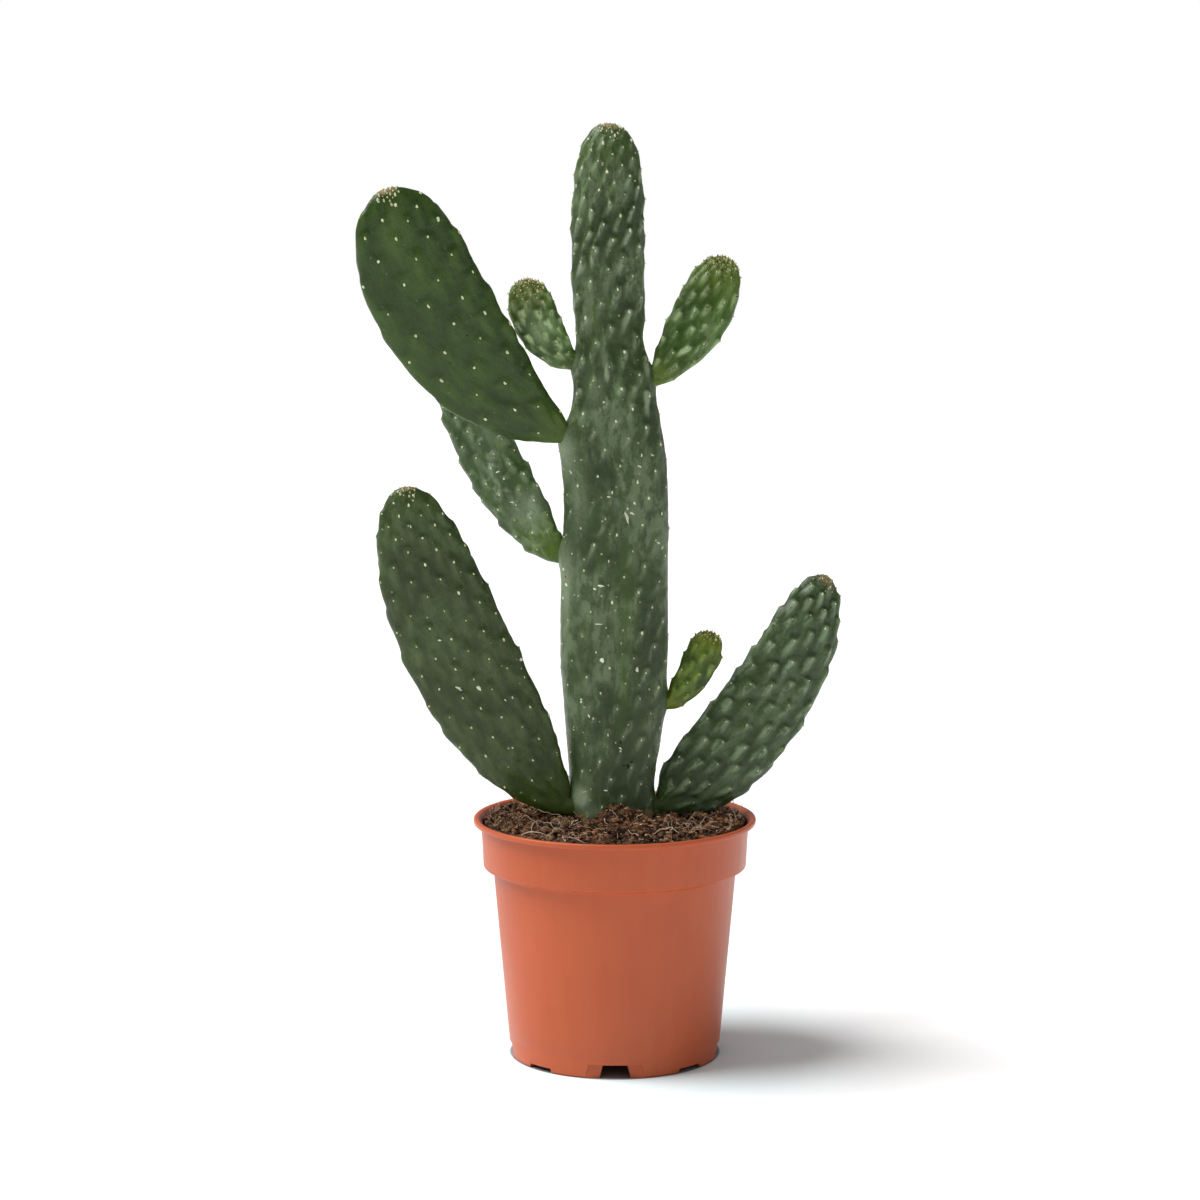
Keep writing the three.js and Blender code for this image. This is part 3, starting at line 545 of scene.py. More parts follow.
def stem_frames(stem, s, turn):
    """Places on a stem's finished skin with the directions round, up and out of it there."""
    points, _ = stem.lifted(s[:, None], turn[:, None])
    _, around, outwards = stem.directions(s, turn)
    return points[:, 0], around, np.cross(around, outwards), outwards


# ------------------------------------------------------------------ areoles

BRISTLE_THICKNESS = 0.07
CROWD_NUMBERS = 1000  # the areoles that crowd on a tip are numbered from here
MARK_SIDES = 14
MARK_RINGS = (0.35, 0.7, 1.0)
MARK_LIFTS = (0.2, 0.14, -0.25)  # of its rings above the skin, in mm
MARK_POLES = (0.24, -0.6)  # and of its middle above and below


def ball_shape(tilts, sides, twist=0.0, foot=-1.0):
    """A unit ball: a ring of points at each tilt from its top, turned on by twist, and two poles."""
    tilt = np.radians(tilts)[:, None]
    turn = np.arange(sides) * 2 * np.pi / sides + twist * tilt
    return closed(around_axis(np.sin(tilt), turn, np.cos(tilt)), (0, 0, 1), (0, 0, foot))


def horn_shape(sides, rings):
    """A unit horn: oval rings that shrink along a parabola bending towards +Y, closed to a point."""
    rise = np.linspace(0, 1, rings + 1)[:-1, None]
    turn = np.arange(sides) * 2 * np.pi / sides
    upright = around_axis((1 - rise) ** 0.8, turn, rise) * (1, 0.6, 1)
    bend = 1.2 * rise[..., None] ** 2 * (0, 1, 0)
    return closed(upright + bend, (0, 0, -0.1), (0, 1.2, 1))


def stamped(shapes, places, across, up, out, sizes):
    """Copies of a small shape: its X, Y and Z run across, up and out at each place, by sizes."""
    scaled = shapes * sizes[:, None]
    turned = (scaled[..., 0:1] * across[:, None] + scaled[..., 1:2] * up[:, None]
              + scaled[..., 2:3] * out[:, None])
    return (places[:, None] + turned).reshape(-1, 3)


def lumpy(shape, key, fineness, depth):
    """Copies of a shape, each point moved in or out by noise of its own."""
    pushed = lattice_noise(shape[None] * fineness + key[:, None, None] * 5.3)
    return shape[None] * (1 + depth * pushed)[..., None]


def grown_spots(stem):
    """The areoles that the solid has too: their length, turn and number."""
    return stem.areole_s, stem.areole_turn, stem.areole_k


def tip_spots(stem, centre, reach, gap):
    """Crowded new areoles on a tip: a finer golden spiral over the skin, kept near a point.

    gap is their distance apart, and chance makes the reach uneven.
    """
    finer = (stem.spacing * (1 - stem.crowding) / gap) ** 2
    k = np.arange(int(stem.station_count[-1] * finer))
    s = np.interp((k + 0.5) / finer, stem.station_count, stem.station_s)
    turn = k * GOLDEN_TURN + 0.3 * gap / 60 * chance(k + stem.seed)
    far = np.linalg.norm(stem.bare(s, turn) - np.array(centre), axis=-1)
    near = far < reach * (0.7 + 0.45 * chance(k + 0.35))
    return s[near], turn[near], k[near] + CROWD_NUMBERS


def cushions(stem, spots, width, ageing, height=0.85):
    """One uneven felt cushion on each areole, of a size that varies by chance."""
    s, turn, key = spots
    places, across, up, out = stem_frames(stem, s, turn)
    size = width / 2 * (0.55 + 0.65 * chance(key + 3.1))
    sizes = np.stack([size, size * (1 + 0.9 * chance(key + 7.7)), size * height], -1)
    shape, faces = ball_shape((24, 48, 72, 100), 8, foot=-0.3)
    points = stamped(lumpy(shape, key, 1.7, 0.4), places, across, up, out, sizes)
    tint = np.repeat(ageing + (1 - ageing) * 0.35 * chance(key + 1.9), len(shape))
    return points, repeated(shape, faces, len(s)), tint


def bristles(stem, spots, count, length):
    """Fine bristles in a tuft on each areole: thin horns that lean outwards by chance."""
    s, turn, key = (np.repeat(value, count) for value in spots)
    key = key * 7 + np.arange(len(s)) + stem.seed * 101
    places, across, up, out = stem_frames(stem, s, turn)
    angle = 2 * np.pi * chance(key)
    lean = 0.75 * chance(key + 0.3)
    sideways = np.cos(angle)[:, None] * across + np.sin(angle)[:, None] * up
    heading = unit(out + lean[:, None] * sideways + 0.25 * up)
    root = places + 0.4 * sideways * lean[:, None] + 0.3 * out
    first = unit(np.cross(heading, across + 0.1 * out))
    reach = length * (0.5 + chance(key + 0.6))
    shape, faces = horn_shape(3, 1)
    sizes = np.stack([np.full(len(s), BRISTLE_THICKNESS), np.full(len(s), BRISTLE_THICKNESS), reach], -1)
    points = stamped(shape[None], root, first, np.cross(heading, first), heading, sizes)
    return points, repeated(shape, faces, len(s)), np.repeat(chance(key + 0.8), len(shape))


def leaf_scales(stem, spots, onset, length):
    """Small pointed leaves at the foot of each areole of a growing tip, curved towards the tip."""
    chosen = spots[0] > onset
    s, turn, key = (value[chosen] for value in spots)
    places, across, up, out = stem_frames(stem, s, turn)
    heading = unit(out + 0.3 * up)
    size = length * (0.7 + 0.6 * chance(key + 4.4))
    shape, faces = horn_shape(5, 3)
    sizes = np.stack([0.3 * size, 0.34 * size, size], -1)
    points = stamped(shape[None], places - 0.45 * up, across, np.cross(across, heading), heading, sizes)
    return points, repeated(shape, faces, len(s)), np.repeat(chance(key + 2.2), len(shape))


def healed_marks(stem, marks):
    """Thin healed scars: discs of rings in the skin's own directions, with an outline made uneven by
    noise, domed over the skin and closed by a point below it.

    Each mark has its length along the stem and turn, its two half sizes and the turn of the longer.
    """
    at_s, at_turn, long, wide, lean = (np.array(column) for column in zip(*marks))
    sides = np.arange(MARK_SIDES) * 2 * np.pi / MARK_SIDES
    rings = np.array(MARK_RINGS)[:, None]
    edge = np.stack([np.cos(sides), np.sin(sides), 0 * sides], -1)
    key = np.arange(len(marks))[:, None, None]
    uneven = 1 + 0.45 * lattice_noise(edge[None] * 1.6 + key * 9.1)
    along = long[:, None] * np.cos(sides) * uneven
    across = wide[:, None] * np.sin(sides) * uneven
    cos, sin = np.cos(lean)[:, None], np.sin(lean)[:, None]
    turned = (along * cos - across * sin, along * sin + across * cos)
    up, on = ((value[:, None] * rings).reshape(len(marks), -1) for value in turned)
    lift = np.repeat(MARK_LIFTS, MARK_SIDES)[None] + 0 * up
    up, on = (np.pad(value, ((0, 0), (1, 1))) for value in (up, on))
    lift = np.pad(lift, ((0, 0), (1, 1)), constant_values=((0, 0), MARK_POLES))
    girth = np.interp(at_s, stem.station_s, stem.station_girth)
    s = at_s[:, None] + up / stem.length
    turn = at_turn[:, None] + on / girth[:, None]
    points, _ = stem.lifted(s.reshape(-1, 1), turn.reshape(-1, 1), lift.reshape(-1, 1))
    faces = repeated(s[0], rings_to_faces(len(MARK_RINGS), MARK_SIDES), len(marks))
    return points.reshape(-1, 3), faces, np.repeat(0.5 * chance(key[:, 0, 0] + 0.4), s.shape[1])


def joined(parts):
    """Several sets of points, faces and tints as one."""
    points, faces, tints, start = [], [], [], 0
    for part_points, part_faces, tint in parts:
        points.append(part_points)
        tints.append(tint)
        faces += [group + start for group in part_faces]
        start += len(part_points)
    return np.concatenate(points), faces, np.concatenate(tints)


# ------------------------------------------------------------------ compost

BED_RINGS, BED_COLUMNS = 96, 260
SOIL_WALL = ((62.0, 10.6), (71.2, 115), (77.3, 117.6), (78.4, 141.2))  # radius and height from its foot up
CRUMB_REACH = 76.5
FIBRE_REACH = 76.8
FIBRE_STEPS = 14
HAIR_CIRCLE = 75.5
HAIR_REACH = 79.5


def soil_height(x, y):
    """The compost's top: a mound round the trunk with broad and small lumps that fade at the wall."""
    radius = np.hypot(x, y)
    mound = SOIL_MOUND * np.exp(-((radius / SOIL_MOUND_RADIUS) ** 2))
    broad = np.sin(0.19 * x + 1.3) * np.cos(0.23 * y - 0.4)
    small = np.sin(0.53 * x - 0.61 * y) * np.cos(0.47 * x + 0.39 * y + 0.8)
    calm = 1 - ease(*SOIL_CALM, radius)
    return SOIL_EDGE + mound + SOIL_LUMP * calm * (broad + small)


# Loose heaps and hollows: to the right, to the back, radius and height in mm
SOIL_HEAPS = (
    (1, -22, 9, 6), (30, -30, 8, 2.4), (-19, -16, 7.5, -7.5), (22, -14, 6, -6), (-30, -30, 7, -2),
    (44, -34, 9, -2.8), (18, -52, 9, -2.6), (-48, -36, 10, 1.8), (60, 4, 9, 1.6), (-20, -58, 7, -1.8),
    (4, 40, 12, 2.0), (-44, 30, 10, -2.0))


def heaped_height(x, y):
    """The top with loose heaps: soil_height, a bell round the trunk and broad noise, calm at the wall."""
    heaps = 2.0 * np.exp(-((np.hypot(x, y) / 33) ** 2))
    heaps = heaps + 1.6 * lattice_noise(np.stack([x, y, 0 * x], -1) / 11, 5)
    for at_x, at_y, size, high in SOIL_HEAPS:
        heaps = heaps + high * np.exp(-(((x - at_x) / size) ** 2) - ((y - at_y) / size) ** 2)
    return soil_height(x, y) + heaps * (1 - ease(60, 78, np.hypot(x, y)))


def crumbled_height(x, y):
    """The heaped top with crumbs of three sizes: two noises folded at zero and a fine one, calmer
    at the wall."""
    at = np.stack([x, y, 0 * x], -1)
    large, middling = (1 - np.abs(lattice_noise(at / size, seed)) for size, seed in ((5.6, 3), (2.6, 9)))
    rough = 2.8 * large + 1.5 * middling + 0.8 * lattice_noise(at / 1.3, 17)
    return heaped_height(x, y) + (rough - 2.4) * (1 - 0.6 * ease(66, 77, np.hypot(x, y)))


def compost_surface(rings, columns):
    """A closed drum of compost: bottom, wall, and rings of the crumbled top in to the middle."""
    wall = np.array(SOIL_WALL)
    turn = np.arange(columns) * 2 * np.pi / columns
    sides = around_axis(wall[:, :1], turn, wall[:, 1:])
    top = around_axis(wall[-1, 0] * (1 - np.arange(rings)[:, None] / rings), turn, 0.0)
    top[..., 2] = crumbled_height(top[..., 0], top[..., 1])
    middle = crumbled_height(np.zeros(1), np.zeros(1))[0]
    return closed(np.concatenate([sides, top]), (0, 0, wall[0, 1]), (0, 0, middle))


def scattered(count, seed, reach):
    """Random places on the compost, even over its disc: the root of chance times the reach."""
    key = np.arange(count) + seed * 1000
    radius = reach * np.sqrt(chance(key))
    turn = 2 * np.pi * chance(key + 0.37)
    x, y = radius * np.cos(turn), radius * np.sin(turn)
    return key, x, y, crumbled_height(x, y)


def crumbs(count, seed, smallest, largest, few=5):
    """Lumps strewn on the compost: balls pushed in and out by noise, squashed and turned by chance.

    The higher the number few, the fewer of them are large. Those on raised places have a paler tint and those
    in hollows a darker one: painted shade together with moister peat.
    """
    key, x, y, z = scattered(count, seed, CRUMB_REACH)
    size = smallest + (largest - smallest) * chance(key + 0.51) ** few
    shape, faces = ball_shape((45, 90, 135), 6, twist=1.0)
    turn = 2 * np.pi * chance(key + 0.19)
    tilt = np.pi * chance(key + 0.23)
    across = np.stack([np.cos(turn), np.sin(turn), 0 * turn], -1)
    out = np.stack([-np.sin(turn) * np.sin(tilt), np.cos(turn) * np.sin(tilt), np.cos(tilt)], -1)
    squash = np.stack([0.7 + 1.6 * chance(key + 0.71) ** 2, 0.5 + 0.5 * chance(key + 0.77),
                       0.35 + 0.45 * chance(key + 0.83)], -1)
    places = np.stack([x, y, z + 0.3 * size], -1)
    lumps = lumpy(shape, key, 1.7, 0.75)
    points = stamped(lumps, places, across, np.cross(out, across), out, size[:, None] * squash)
    # Darker in hollows: painted shade together with moister peat.
    raised = 0.25 + 0.75 * ease(-2.0, 1.6, z - heaped_height(x, y))
    return points, repeated(shape, faces, count), np.repeat(chance(key + 0.91) * raised, len(shape))


def tubes(paths, thick, sides=3):
    """Thin closed tubes along many paths at once: rings square to the path, tapering to its ends."""
    count, steps = paths.shape[:2]
    heading = unit(np.gradient(paths, axis=1))
    first = unit(np.cross(heading, np.array([0.31, 0.27, 0.91])))  # any direction that no path takes
    second = np.cross(heading, first)
    angle = np.arange(sides) * 2 * np.pi / sides
    taper = 0.35 + 0.65 * np.sin(np.pi * (np.arange(steps) + 0.5) / steps)
    radius = (thick[:, None] * taper / 2)[..., None, None]
    ring = np.cos(angle)[:, None] * first[:, :, None] + np.sin(angle)[:, None] * second[:, :, None]
    rings = (paths[:, :, None] + radius * ring).reshape(count, -1, 3)
    points = np.concatenate([paths[:, :1], rings, paths[:, -1:]], 1)
    template = points[0]
    return points.reshape(-1, 3), repeated(template, rings_to_faces(steps, sides), count), len(template)


def fibre_paths(count, seed, reach, shortest, longest, lift, calm=1.0, around=(0, 0)):
    """Curved fibres lying on the compost: their heading turns evenly and wanders as they go.

    They start within reach of a place, bend less the higher calm is, and rise in the middle by lift
    for each 12 mm of their length.
    """
    key, x, y, _ = scattered(count, seed, reach)
    x, y = x + around[0], y + around[1]
    steps = np.linspace(0, 1, FIBRE_STEPS)[None]
    length = shortest + (longest - shortest) * chance(key + 0.41) ** 2
    curl = (chance(key + 0.61) - 0.5) * 4.5 / calm
    heading = 2 * np.pi * chance(key + 0.67)[:, None] + curl[:, None] * steps
    heading = heading + 0.4 / calm * np.sin(6 * steps + 20 * chance(key + 0.7)[:, None])
    stride = length[:, None] / (FIBRE_STEPS - 1)
    along_x = x[:, None] + np.cumsum(np.cos(heading) * stride, 1)
    along_y = y[:, None] + np.cumsum(np.sin(heading) * stride, 1)
    inside = np.minimum(1, FIBRE_REACH / np.maximum(np.hypot(along_x, along_y), 1e-6))
    along_x, along_y = along_x * inside, along_y * inside
    hump = np.sin(np.pi * steps) * (lift * chance(key + 0.87)[:, None] * length[:, None] / 12)
    return key, np.stack([along_x, along_y, heaped_height(along_x, along_y) + 0.9 + hump], -1)


def rim_hairs(count, seed):
    """Hairs that stand up beside the lip: each rises from the compost and leans by chance."""
    key = np.arange(count) + seed * 1000
    side = np.where(chance(key + 0.2) > 0.45, 0.12, np.pi - 0.12)
    turn = side + (chance(key) - 0.5) * 1.1
    start = HAIR_CIRCLE * np.stack([np.cos(turn), np.sin(turn)], -1)
    steps = np.linspace(0, 1, 8)[None, :, None]
    lean = np.stack([np.cos(9 * turn), np.sin(13 * turn)], -1)[:, None]
    lean = lean * (2 + 5 * chance(key + 0.4))[:, None, None]
    flat = start[:, None] + lean * steps**1.7 + 0.6 * np.sin(5 * steps + key[:, None, None])
    flat *= np.minimum(1, HAIR_REACH / np.linalg.norm(flat, axis=-1, keepdims=True))
    height = SOIL_EDGE - 1 + (4 + 9 * chance(key + 0.9))[:, None] * np.sin(1.7 * steps[..., 0])
    return np.concatenate([flat, height[..., None]], -1)


# ------------------------------------------------------------------ pot

FLOOR_TOP = 10
FOOT_TOP = 8.5
FOOT_RADIUS = 63.2
FOOT_ROUND = 0.8
DOOR = (18.7 / 2, 14.6 / 2, 8.1)  # half width at the foot, half width at the top, height
PANEL = (35.6 / 2, 30 / 2, 8.3)
SLOT = (18 / 2, 16.6 / 2, 2.6)
CUT_SIDE = 0.0008  # turn over which the side of a cut rises
PANEL_FACE = 60.8
PANEL_BACK = 57.4
FLOOR_CIRCLES = (14, 28, 40, 52, 55.5)
INNER_HEIGHTS = (FOOT_TOP, 8.32, 8.3, 8.1, 6.5, 5, 3.5, 2.6, 1.3, 0)
OUTER_HEIGHTS = (0, 0.12, 0.4, 0.8, 1.3, 2.0, 2.6, 3.5, 5, 6.5, 8.1, 8.3, 8.32, 10)
# The wall from the foot up its outside, over the lip and down to the floor: radius, height, softness
WALL = (
    (63.9, 10.6, 0), (63.95, 11.4, 0), (64.08, 12, 0), (64.3, 12.5, 0),
    *((64.2 + 9 * share, 12 + 101.2 * share, 0) for share in (0.1, 0.25, 0.45, 0.65, 0.85)),
    (73.2, 113.2, 0.7), (79.2, 115.6, 0.7), (79.9, 130, 0), (80.6, 141.4, 0.5), (85, 141.4, 1.2),
    (85, 144.8, 1.4), (82.4, 144.8, 1.1), (79.2, 141.4, 1.1), (78.5, 131, 0), (77.7, 117.1, 0.8),
    (71.7, 114.7, 0.8), (68.2, 75, 0), (64.8, 40, 0), (62.52, FLOOR_TOP, 1.0), (50, FLOOR_TOP, 0),
    (20, FLOOR_TOP, 0))
WELD = 1e-6  # metres between points that become one
# The pot's inside in metres, for its stains and painted shade: heights and radii of the collar, then of the
# lip above it
COLLAR_INSIDE = (0.117, 0.1414, 0.0785, 0.08)
LIP_INSIDE = (0.1414, 0.1446, 0.0, 0.0018)
STAIN_AND_SHADE_FOOT = (0.12, 0.125)
STAIN_AND_SHADE_EDGE = (-0.0001, 0.0004)
DRAIN_COUNT = 8
DRAIN_RADIUS = 4
DRAIN_CIRCLE = 46
DRAIN_SIDES = 24
DRAIN_CUT = (7.0, 11.5)  # heights between which it is cut


def rounded_line(corners, steps=6):
    """A line through corners of radius, height and softness, each rounded by a quadratic curve."""
    corners = np.array(corners, float)
    points = [corners[0, :2]]
    for before, corner, after in zip(corners, corners[1:], corners[2:]):
        start = corner[:2] + unit(before[:2] - corner[:2]) * corner[2]
        end = corner[:2] + unit(after[:2] - corner[:2]) * corner[2]
        t = np.linspace(0, 1, steps)[:, None] if corner[2] else np.array([[0.5]])
        points += list((1 - t) ** 2 * start + 2 * t * (1 - t) * corner[:2] + t**2 * end)
    return np.array(points + [corners[-1, :2]])


def foot_outer(z):
    """Outer radius of the foot by height: a small arc, then the slope of the wall."""
    under = FOOT_ROUND - np.minimum(z, FOOT_ROUND)
    arc = FOOT_RADIUS - FOOT_ROUND + np.sqrt(np.maximum(0, FOOT_ROUND**2 - under**2))
    return np.where(z < FOOT_ROUND, arc, FOOT_RADIUS + (z - FOOT_ROUND) / 11.2)


def foot_turns(z, step):
    """Turns of the columns at a height. They follow the slanted sides of door, panel and slot.

    step runs from -7 at one slot's middle through 0 at the door's middle to 7 at the next slot's.
    The columns that cross a door or slot stay where its top is.
    """
    over = np.where(np.abs(step) <= 1, DOOR[2], np.where(np.abs(step) >= 6, SLOT[2], 0))
    turns = [cut_turns(np.maximum(z, level), step) for level in (0, DOOR[2], SLOT[2])]
    return np.select([over == 0, over == DOOR[2]], turns[:2], turns[2])


def cut_turns(z, step):
    """Turns of all columns at one height: stops at the edges of door, panel and slot there."""

    def edge(cut):
        foot, top, height = cut
        return np.arcsin((foot + (top - foot) * np.minimum(z / height, 1)) / 62)

    slot = np.pi / 4 - edge(SLOT)
    middles = (edge(DOOR), edge(PANEL), slot)
    stops = [0, *(middle + side for middle in middles for side in (-CUT_SIDE, CUT_SIDE)), np.pi / 4]
    return np.sign(step) * np.interp(np.abs(step), np.arange(8), stops)


def pot_rings():
    """Rings of the pot from under its floor, round foot, wall and lip, and back inside.

    Each column of the foot ring is lifted to the top of the door or slot that it crosses, and the
    columns of a panel lie on that panel's flat face in front and behind.
    """
    half = np.concatenate([np.linspace(0, 1, 5), np.linspace(2, 3, 5), np.linspace(4, 5, 13),
                           np.linspace(6, 7, 4)])
    step = np.concatenate([-half[-2:0:-1], half])
    in_door, in_panel, in_slot = np.abs(step) <= 1, np.abs(step) <= 3, np.abs(step) >= 6
    quarter = np.arange(4)[:, None] * np.pi / 2 - np.pi / 2
    rows = [("floor", radius, FOOT_TOP) for radius in FLOOR_CIRCLES]
    rows += [("inner", 0, z) for z in INNER_HEIGHTS]
    rows += [("land", share, 0) for share in (0.3, 0.7)]
    rows += [("outer", 0, z) for z in OUTER_HEIGHTS]
    rows += [("wall", radius, z) for radius, z in rounded_line(WALL)[1:]]
    rings = []
    for zone, value, z in rows:
        turn = foot_turns(z, step)
        height = np.full(step.shape, float(z))
        if zone in ("inner", "land", "outer"):
            height = np.where(in_door, np.maximum(height, DOOR[2]), height)
            height = np.where(in_slot, np.maximum(height, SLOT[2]), height)
        inside = np.where(in_panel, PANEL_BACK / np.cos(turn), 60.6 + height * 0.6 / FOOT_TOP)
        outside = np.where(in_panel & (z <= PANEL[2]), PANEL_FACE / np.cos(turn), foot_outer(height))
        radius = {"inner": inside, "outer": outside, "land": inside + (outside - inside) * value}
        radius = radius.get(zone, np.full(step.shape, float(value)))
        rings.append(around_axis(radius, quarter + turn, height).reshape(-1, 3))
    return closed(np.array(rings), (0, 0, FOOT_TOP), (0, 0, FLOOR_TOP))


def drain_cutters():
    """Upright rods where the floor's drain holes are: rings of a cylinder with closed ends."""
    turn = np.arange(DRAIN_SIDES) * 2 * np.pi / DRAIN_SIDES
    rod = around_axis(DRAIN_RADIUS, turn, np.array(DRAIN_CUT)[:, None])
    shape, faces = closed(rod, (0, 0, DRAIN_CUT[0]), (0, 0, DRAIN_CUT[1]))
    centres = around_axis(DRAIN_CIRCLE, (np.arange(DRAIN_COUNT) + 0.5) * 2 * np.pi / DRAIN_COUNT, 0.0)
    return (shape + centres[:, None]).reshape(-1, 3), repeated(shape, faces, DRAIN_COUNT)


# ------------------------------------------------------------------ shader helpers


def put(tree, kind, inputs=None, **settings):
    """Adds a node, sets its settings, and links or fills its inputs."""
    made = tree.nodes.new(kind)
    for key, value in settings.items():
        setattr(made, key, value)
    for key, value in (inputs or {}).items():
        value = getattr(value, "socket", value)
        if isinstance(value, bpy.types.NodeSocket):
            tree.links.new(value, made.inputs[key])
        else:
            made.inputs[key].default_value = value
    return made


class Field:
    """A number, colour or place that varies over a surface: a socket that can be added and multiplied."""

    def __init__(self, socket):
        self.socket = socket

    def put(self, kind, inputs, output=0, **settings):
        """A node in this field's tree, and the field that one of its outputs gives."""
        return Field(put(self.socket.id_data, kind, inputs, **settings).outputs[output])

    def maths(self, operation, other=0.0):
        return self.put("ShaderNodeMath", {0: self, 1: other}, operation=operation)

    def __add__(self, other):
        return self.maths("ADD", other)

    def __sub__(self, other):
        return self.maths("SUBTRACT", other)

    def __mul__(self, other):
        return self.maths("MULTIPLY", other)

    def highest(self, other):
        return self.maths("MAXIMUM", other)

    def eased(self, low, high, bottom=0.0, top=1.0, curve="SMOOTHSTEP"):
        """Goes from bottom to top as this goes from low to high."""
        ends = {"From Min": low, "From Max": high, "To Min": bottom, "To Max": top}
        return self.put("ShaderNodeMapRange", {"Value": self, **ends}, "Result", interpolation_type=curve)

    def drawn_out(self, share):
        """This place with its Z multiplied by a share, so that a pattern on it is longer upwards."""
        return self.put("ShaderNodeVectorMath", {0: self, 1: (1, 1, share)}, operation="MULTIPLY")

    def noise(self, scale, detail=3.0, rough=0.55):
        """Soft noise from 0 to 1 over this place."""
        inputs = {"Vector": self, "Scale": scale, "Detail": detail, "Roughness": rough}
        return self.put("ShaderNodeTexNoise", inputs, "Fac")

    def mixed(self, first, second):
        """The first colour where this is 0, the second where it is 1."""
        return self.put("ShaderNodeMix", {0: self, 6: first, 7: second}, 2, data_type="RGBA")


def colour(values):
    """A linear colour with full alpha."""
    return (*tuple(values)[:3], 1.0)


def painted(*values):
    """A screen colour of 0 to 255, linear and with full alpha."""
    return colour(shade(*values))


def object_place(tree):
    """The place on the piece's object."""
    return Field(put(tree, "ShaderNodeTexCoord").outputs["Object"])


def attribute(tree, name, output="Fac"):
    """A value that the piece's own points carry."""
    return Field(put(tree, "ShaderNodeAttribute", attribute_name=name).outputs[output])


def pattern_group(name, inputs, outputs):
    """An empty node group with these sockets, given as kinds by name. Also its inputs as fields."""
    tree = bpy.data.node_groups.new(name, "ShaderNodeTree")
    for way, sockets in (("INPUT", inputs), ("OUTPUT", outputs)):
        for key, kind in sockets.items():
            tree.interface.new_socket(key, in_out=way, socket_type=f"NodeSocket{kind}")
    given = tree.nodes.new("NodeGroupInput").outputs
    return tree, {key: Field(given[key]) for key in inputs}


def grouped(tree, group, **inputs):
    """Places a group in a tree and fills its inputs. Gives its outputs as fields by name."""
    node = put(tree, "ShaderNodeGroup", inputs, node_tree=group)
    return {socket.name: Field(socket) for socket in node.outputs}


def blank_material(name, **constants):
    """A material with a Principled shader, whose constant sockets are set directly."""
    material = bpy.data.materials.new(name)
    material.use_nodes = True
    shader = material.node_tree.nodes["Principled BSDF"]
    for key, value in constants.items():
        shader.inputs[key.replace("_", " ")].default_value = value
    return material, material.node_tree, shader


def finish(shader, base, rough, height, distance, strength=1.0):
    """Feeds colour and roughness to a shader, and a height through a bump."""
    bump = height.put("ShaderNodeBump", {"Height": height, "Distance": distance, "Strength": strength})
    for key, field in (("Base Color", base), ("Roughness", rough), ("Normal", bump)):
        shader.id_data.links.new(field.socket, shader.inputs[key])


# ------------------------------------------------------------------ patterns


def skin_pattern():
    """Cactus skin: soft streaks along the stem, wax bloom and painted highlight on the crests, mottling, pale
    flecks.

    Streaks, threads, clouds and mottling add up to the share of the middle green, less in hollows and
    dimples as painted shade. Wax is the strongest of three: patchy on the crests, where it is also a
    painted highlight, misty in the clouds, and frosted spots, which in places are painted light. Fresh
    skin, flecks in some cells and rusty cork then cover it in turn.
    """
    tree, given = pattern_group(
        "skin_pattern",
        dict(Place="Vector", Crest="Float", Fresh="Float", Cork="Float", Frost="Float", Deep="Color",
             Middle="Color", Bloom="Color", Young="Color", Waxy="Float", Cloudy="Float", Flecks="Float"),
        dict(Colour="Color", Roughness="Float", Height="Float"))
    place, crest = given["Place"], given["Crest"]
    streak = place.drawn_out(0.22).noise(0.1).eased(0.36, 0.64)
    thread = place.drawn_out(0.45).noise(0.2, rough=0.6).eased(0.36, 0.66)
    cloud = place.drawn_out(0.6).noise(0.045).eased(0.42, 0.62)
    mottle = place.noise(0.6, 4.0, 0.62)
    grain = place.noise(2.6, 2.0)
    amount = streak * 0.4 + thread * 0.2 + cloud * 0.3 + mottle.eased(0.3, 0.7) * 0.25
    # Hollows and dimples, where the crest is low, get less of the middle green: painted shade.
    base = (amount * crest.eased(-0.6, 0.6, 0.3, 1.2)).mixed(given["Deep"], given["Middle"])
    patchy = (thread + mottle).eased(0.4, 1.4, 0.15)
    misty = cloud * patchy * given["Cloudy"] * 0.6
    # Frosted spots: pale wax, and in places painted light.
    frosty = given["Frost"] * streak.eased(0.0, 1.0, 0.55) * mottle.eased(0.2, 0.6, 0.6)
    # Wax on the crests is real bloom and also a painted highlight of the lit crests.
    wax_and_sheen = (crest.eased(0.0, 0.8) * patchy * given["Waxy"]).highest(misty).highest(frosty)
    base = wax_and_sheen.mixed(base, given["Bloom"])
    fresh = given["Fresh"] * mottle.eased(0.25, 0.75, 0.6)
    base = fresh.mixed(base, given["Young"])
    cell = place.put("ShaderNodeTexVoronoi", {"Vector": place, "Scale": 0.2, "Randomness": 1.0}, "Distance")
    kind = cell.put("ShaderNodeSeparateColor", {0: cell.socket.node.outputs["Color"]})
    fleck = (cell + grain * 0.12).eased(0.22, 0.14) * kind.eased(0.72, 0.8) * given["Flecks"]
    base = fleck.mixed(base, painted(172, 178, 142))
    cork = (given["Cork"] + (mottle - 0.5)).eased(0.35, 0.7)
    base = cork.mixed(base, grain.mixed(painted(104, 80, 46), painted(172, 158, 112)))
    shine = mottle.eased(0.3, 0.7, 0.29, 0.4) + wax_and_sheen * 0.08 + cork * 0.3
    height = grain * 0.16 + mottle * 0.3 + thread * 0.2 + fleck * 0.4
    put(tree, "NodeGroupOutput", dict(Colour=base, Roughness=shine, Height=height))
    return tree


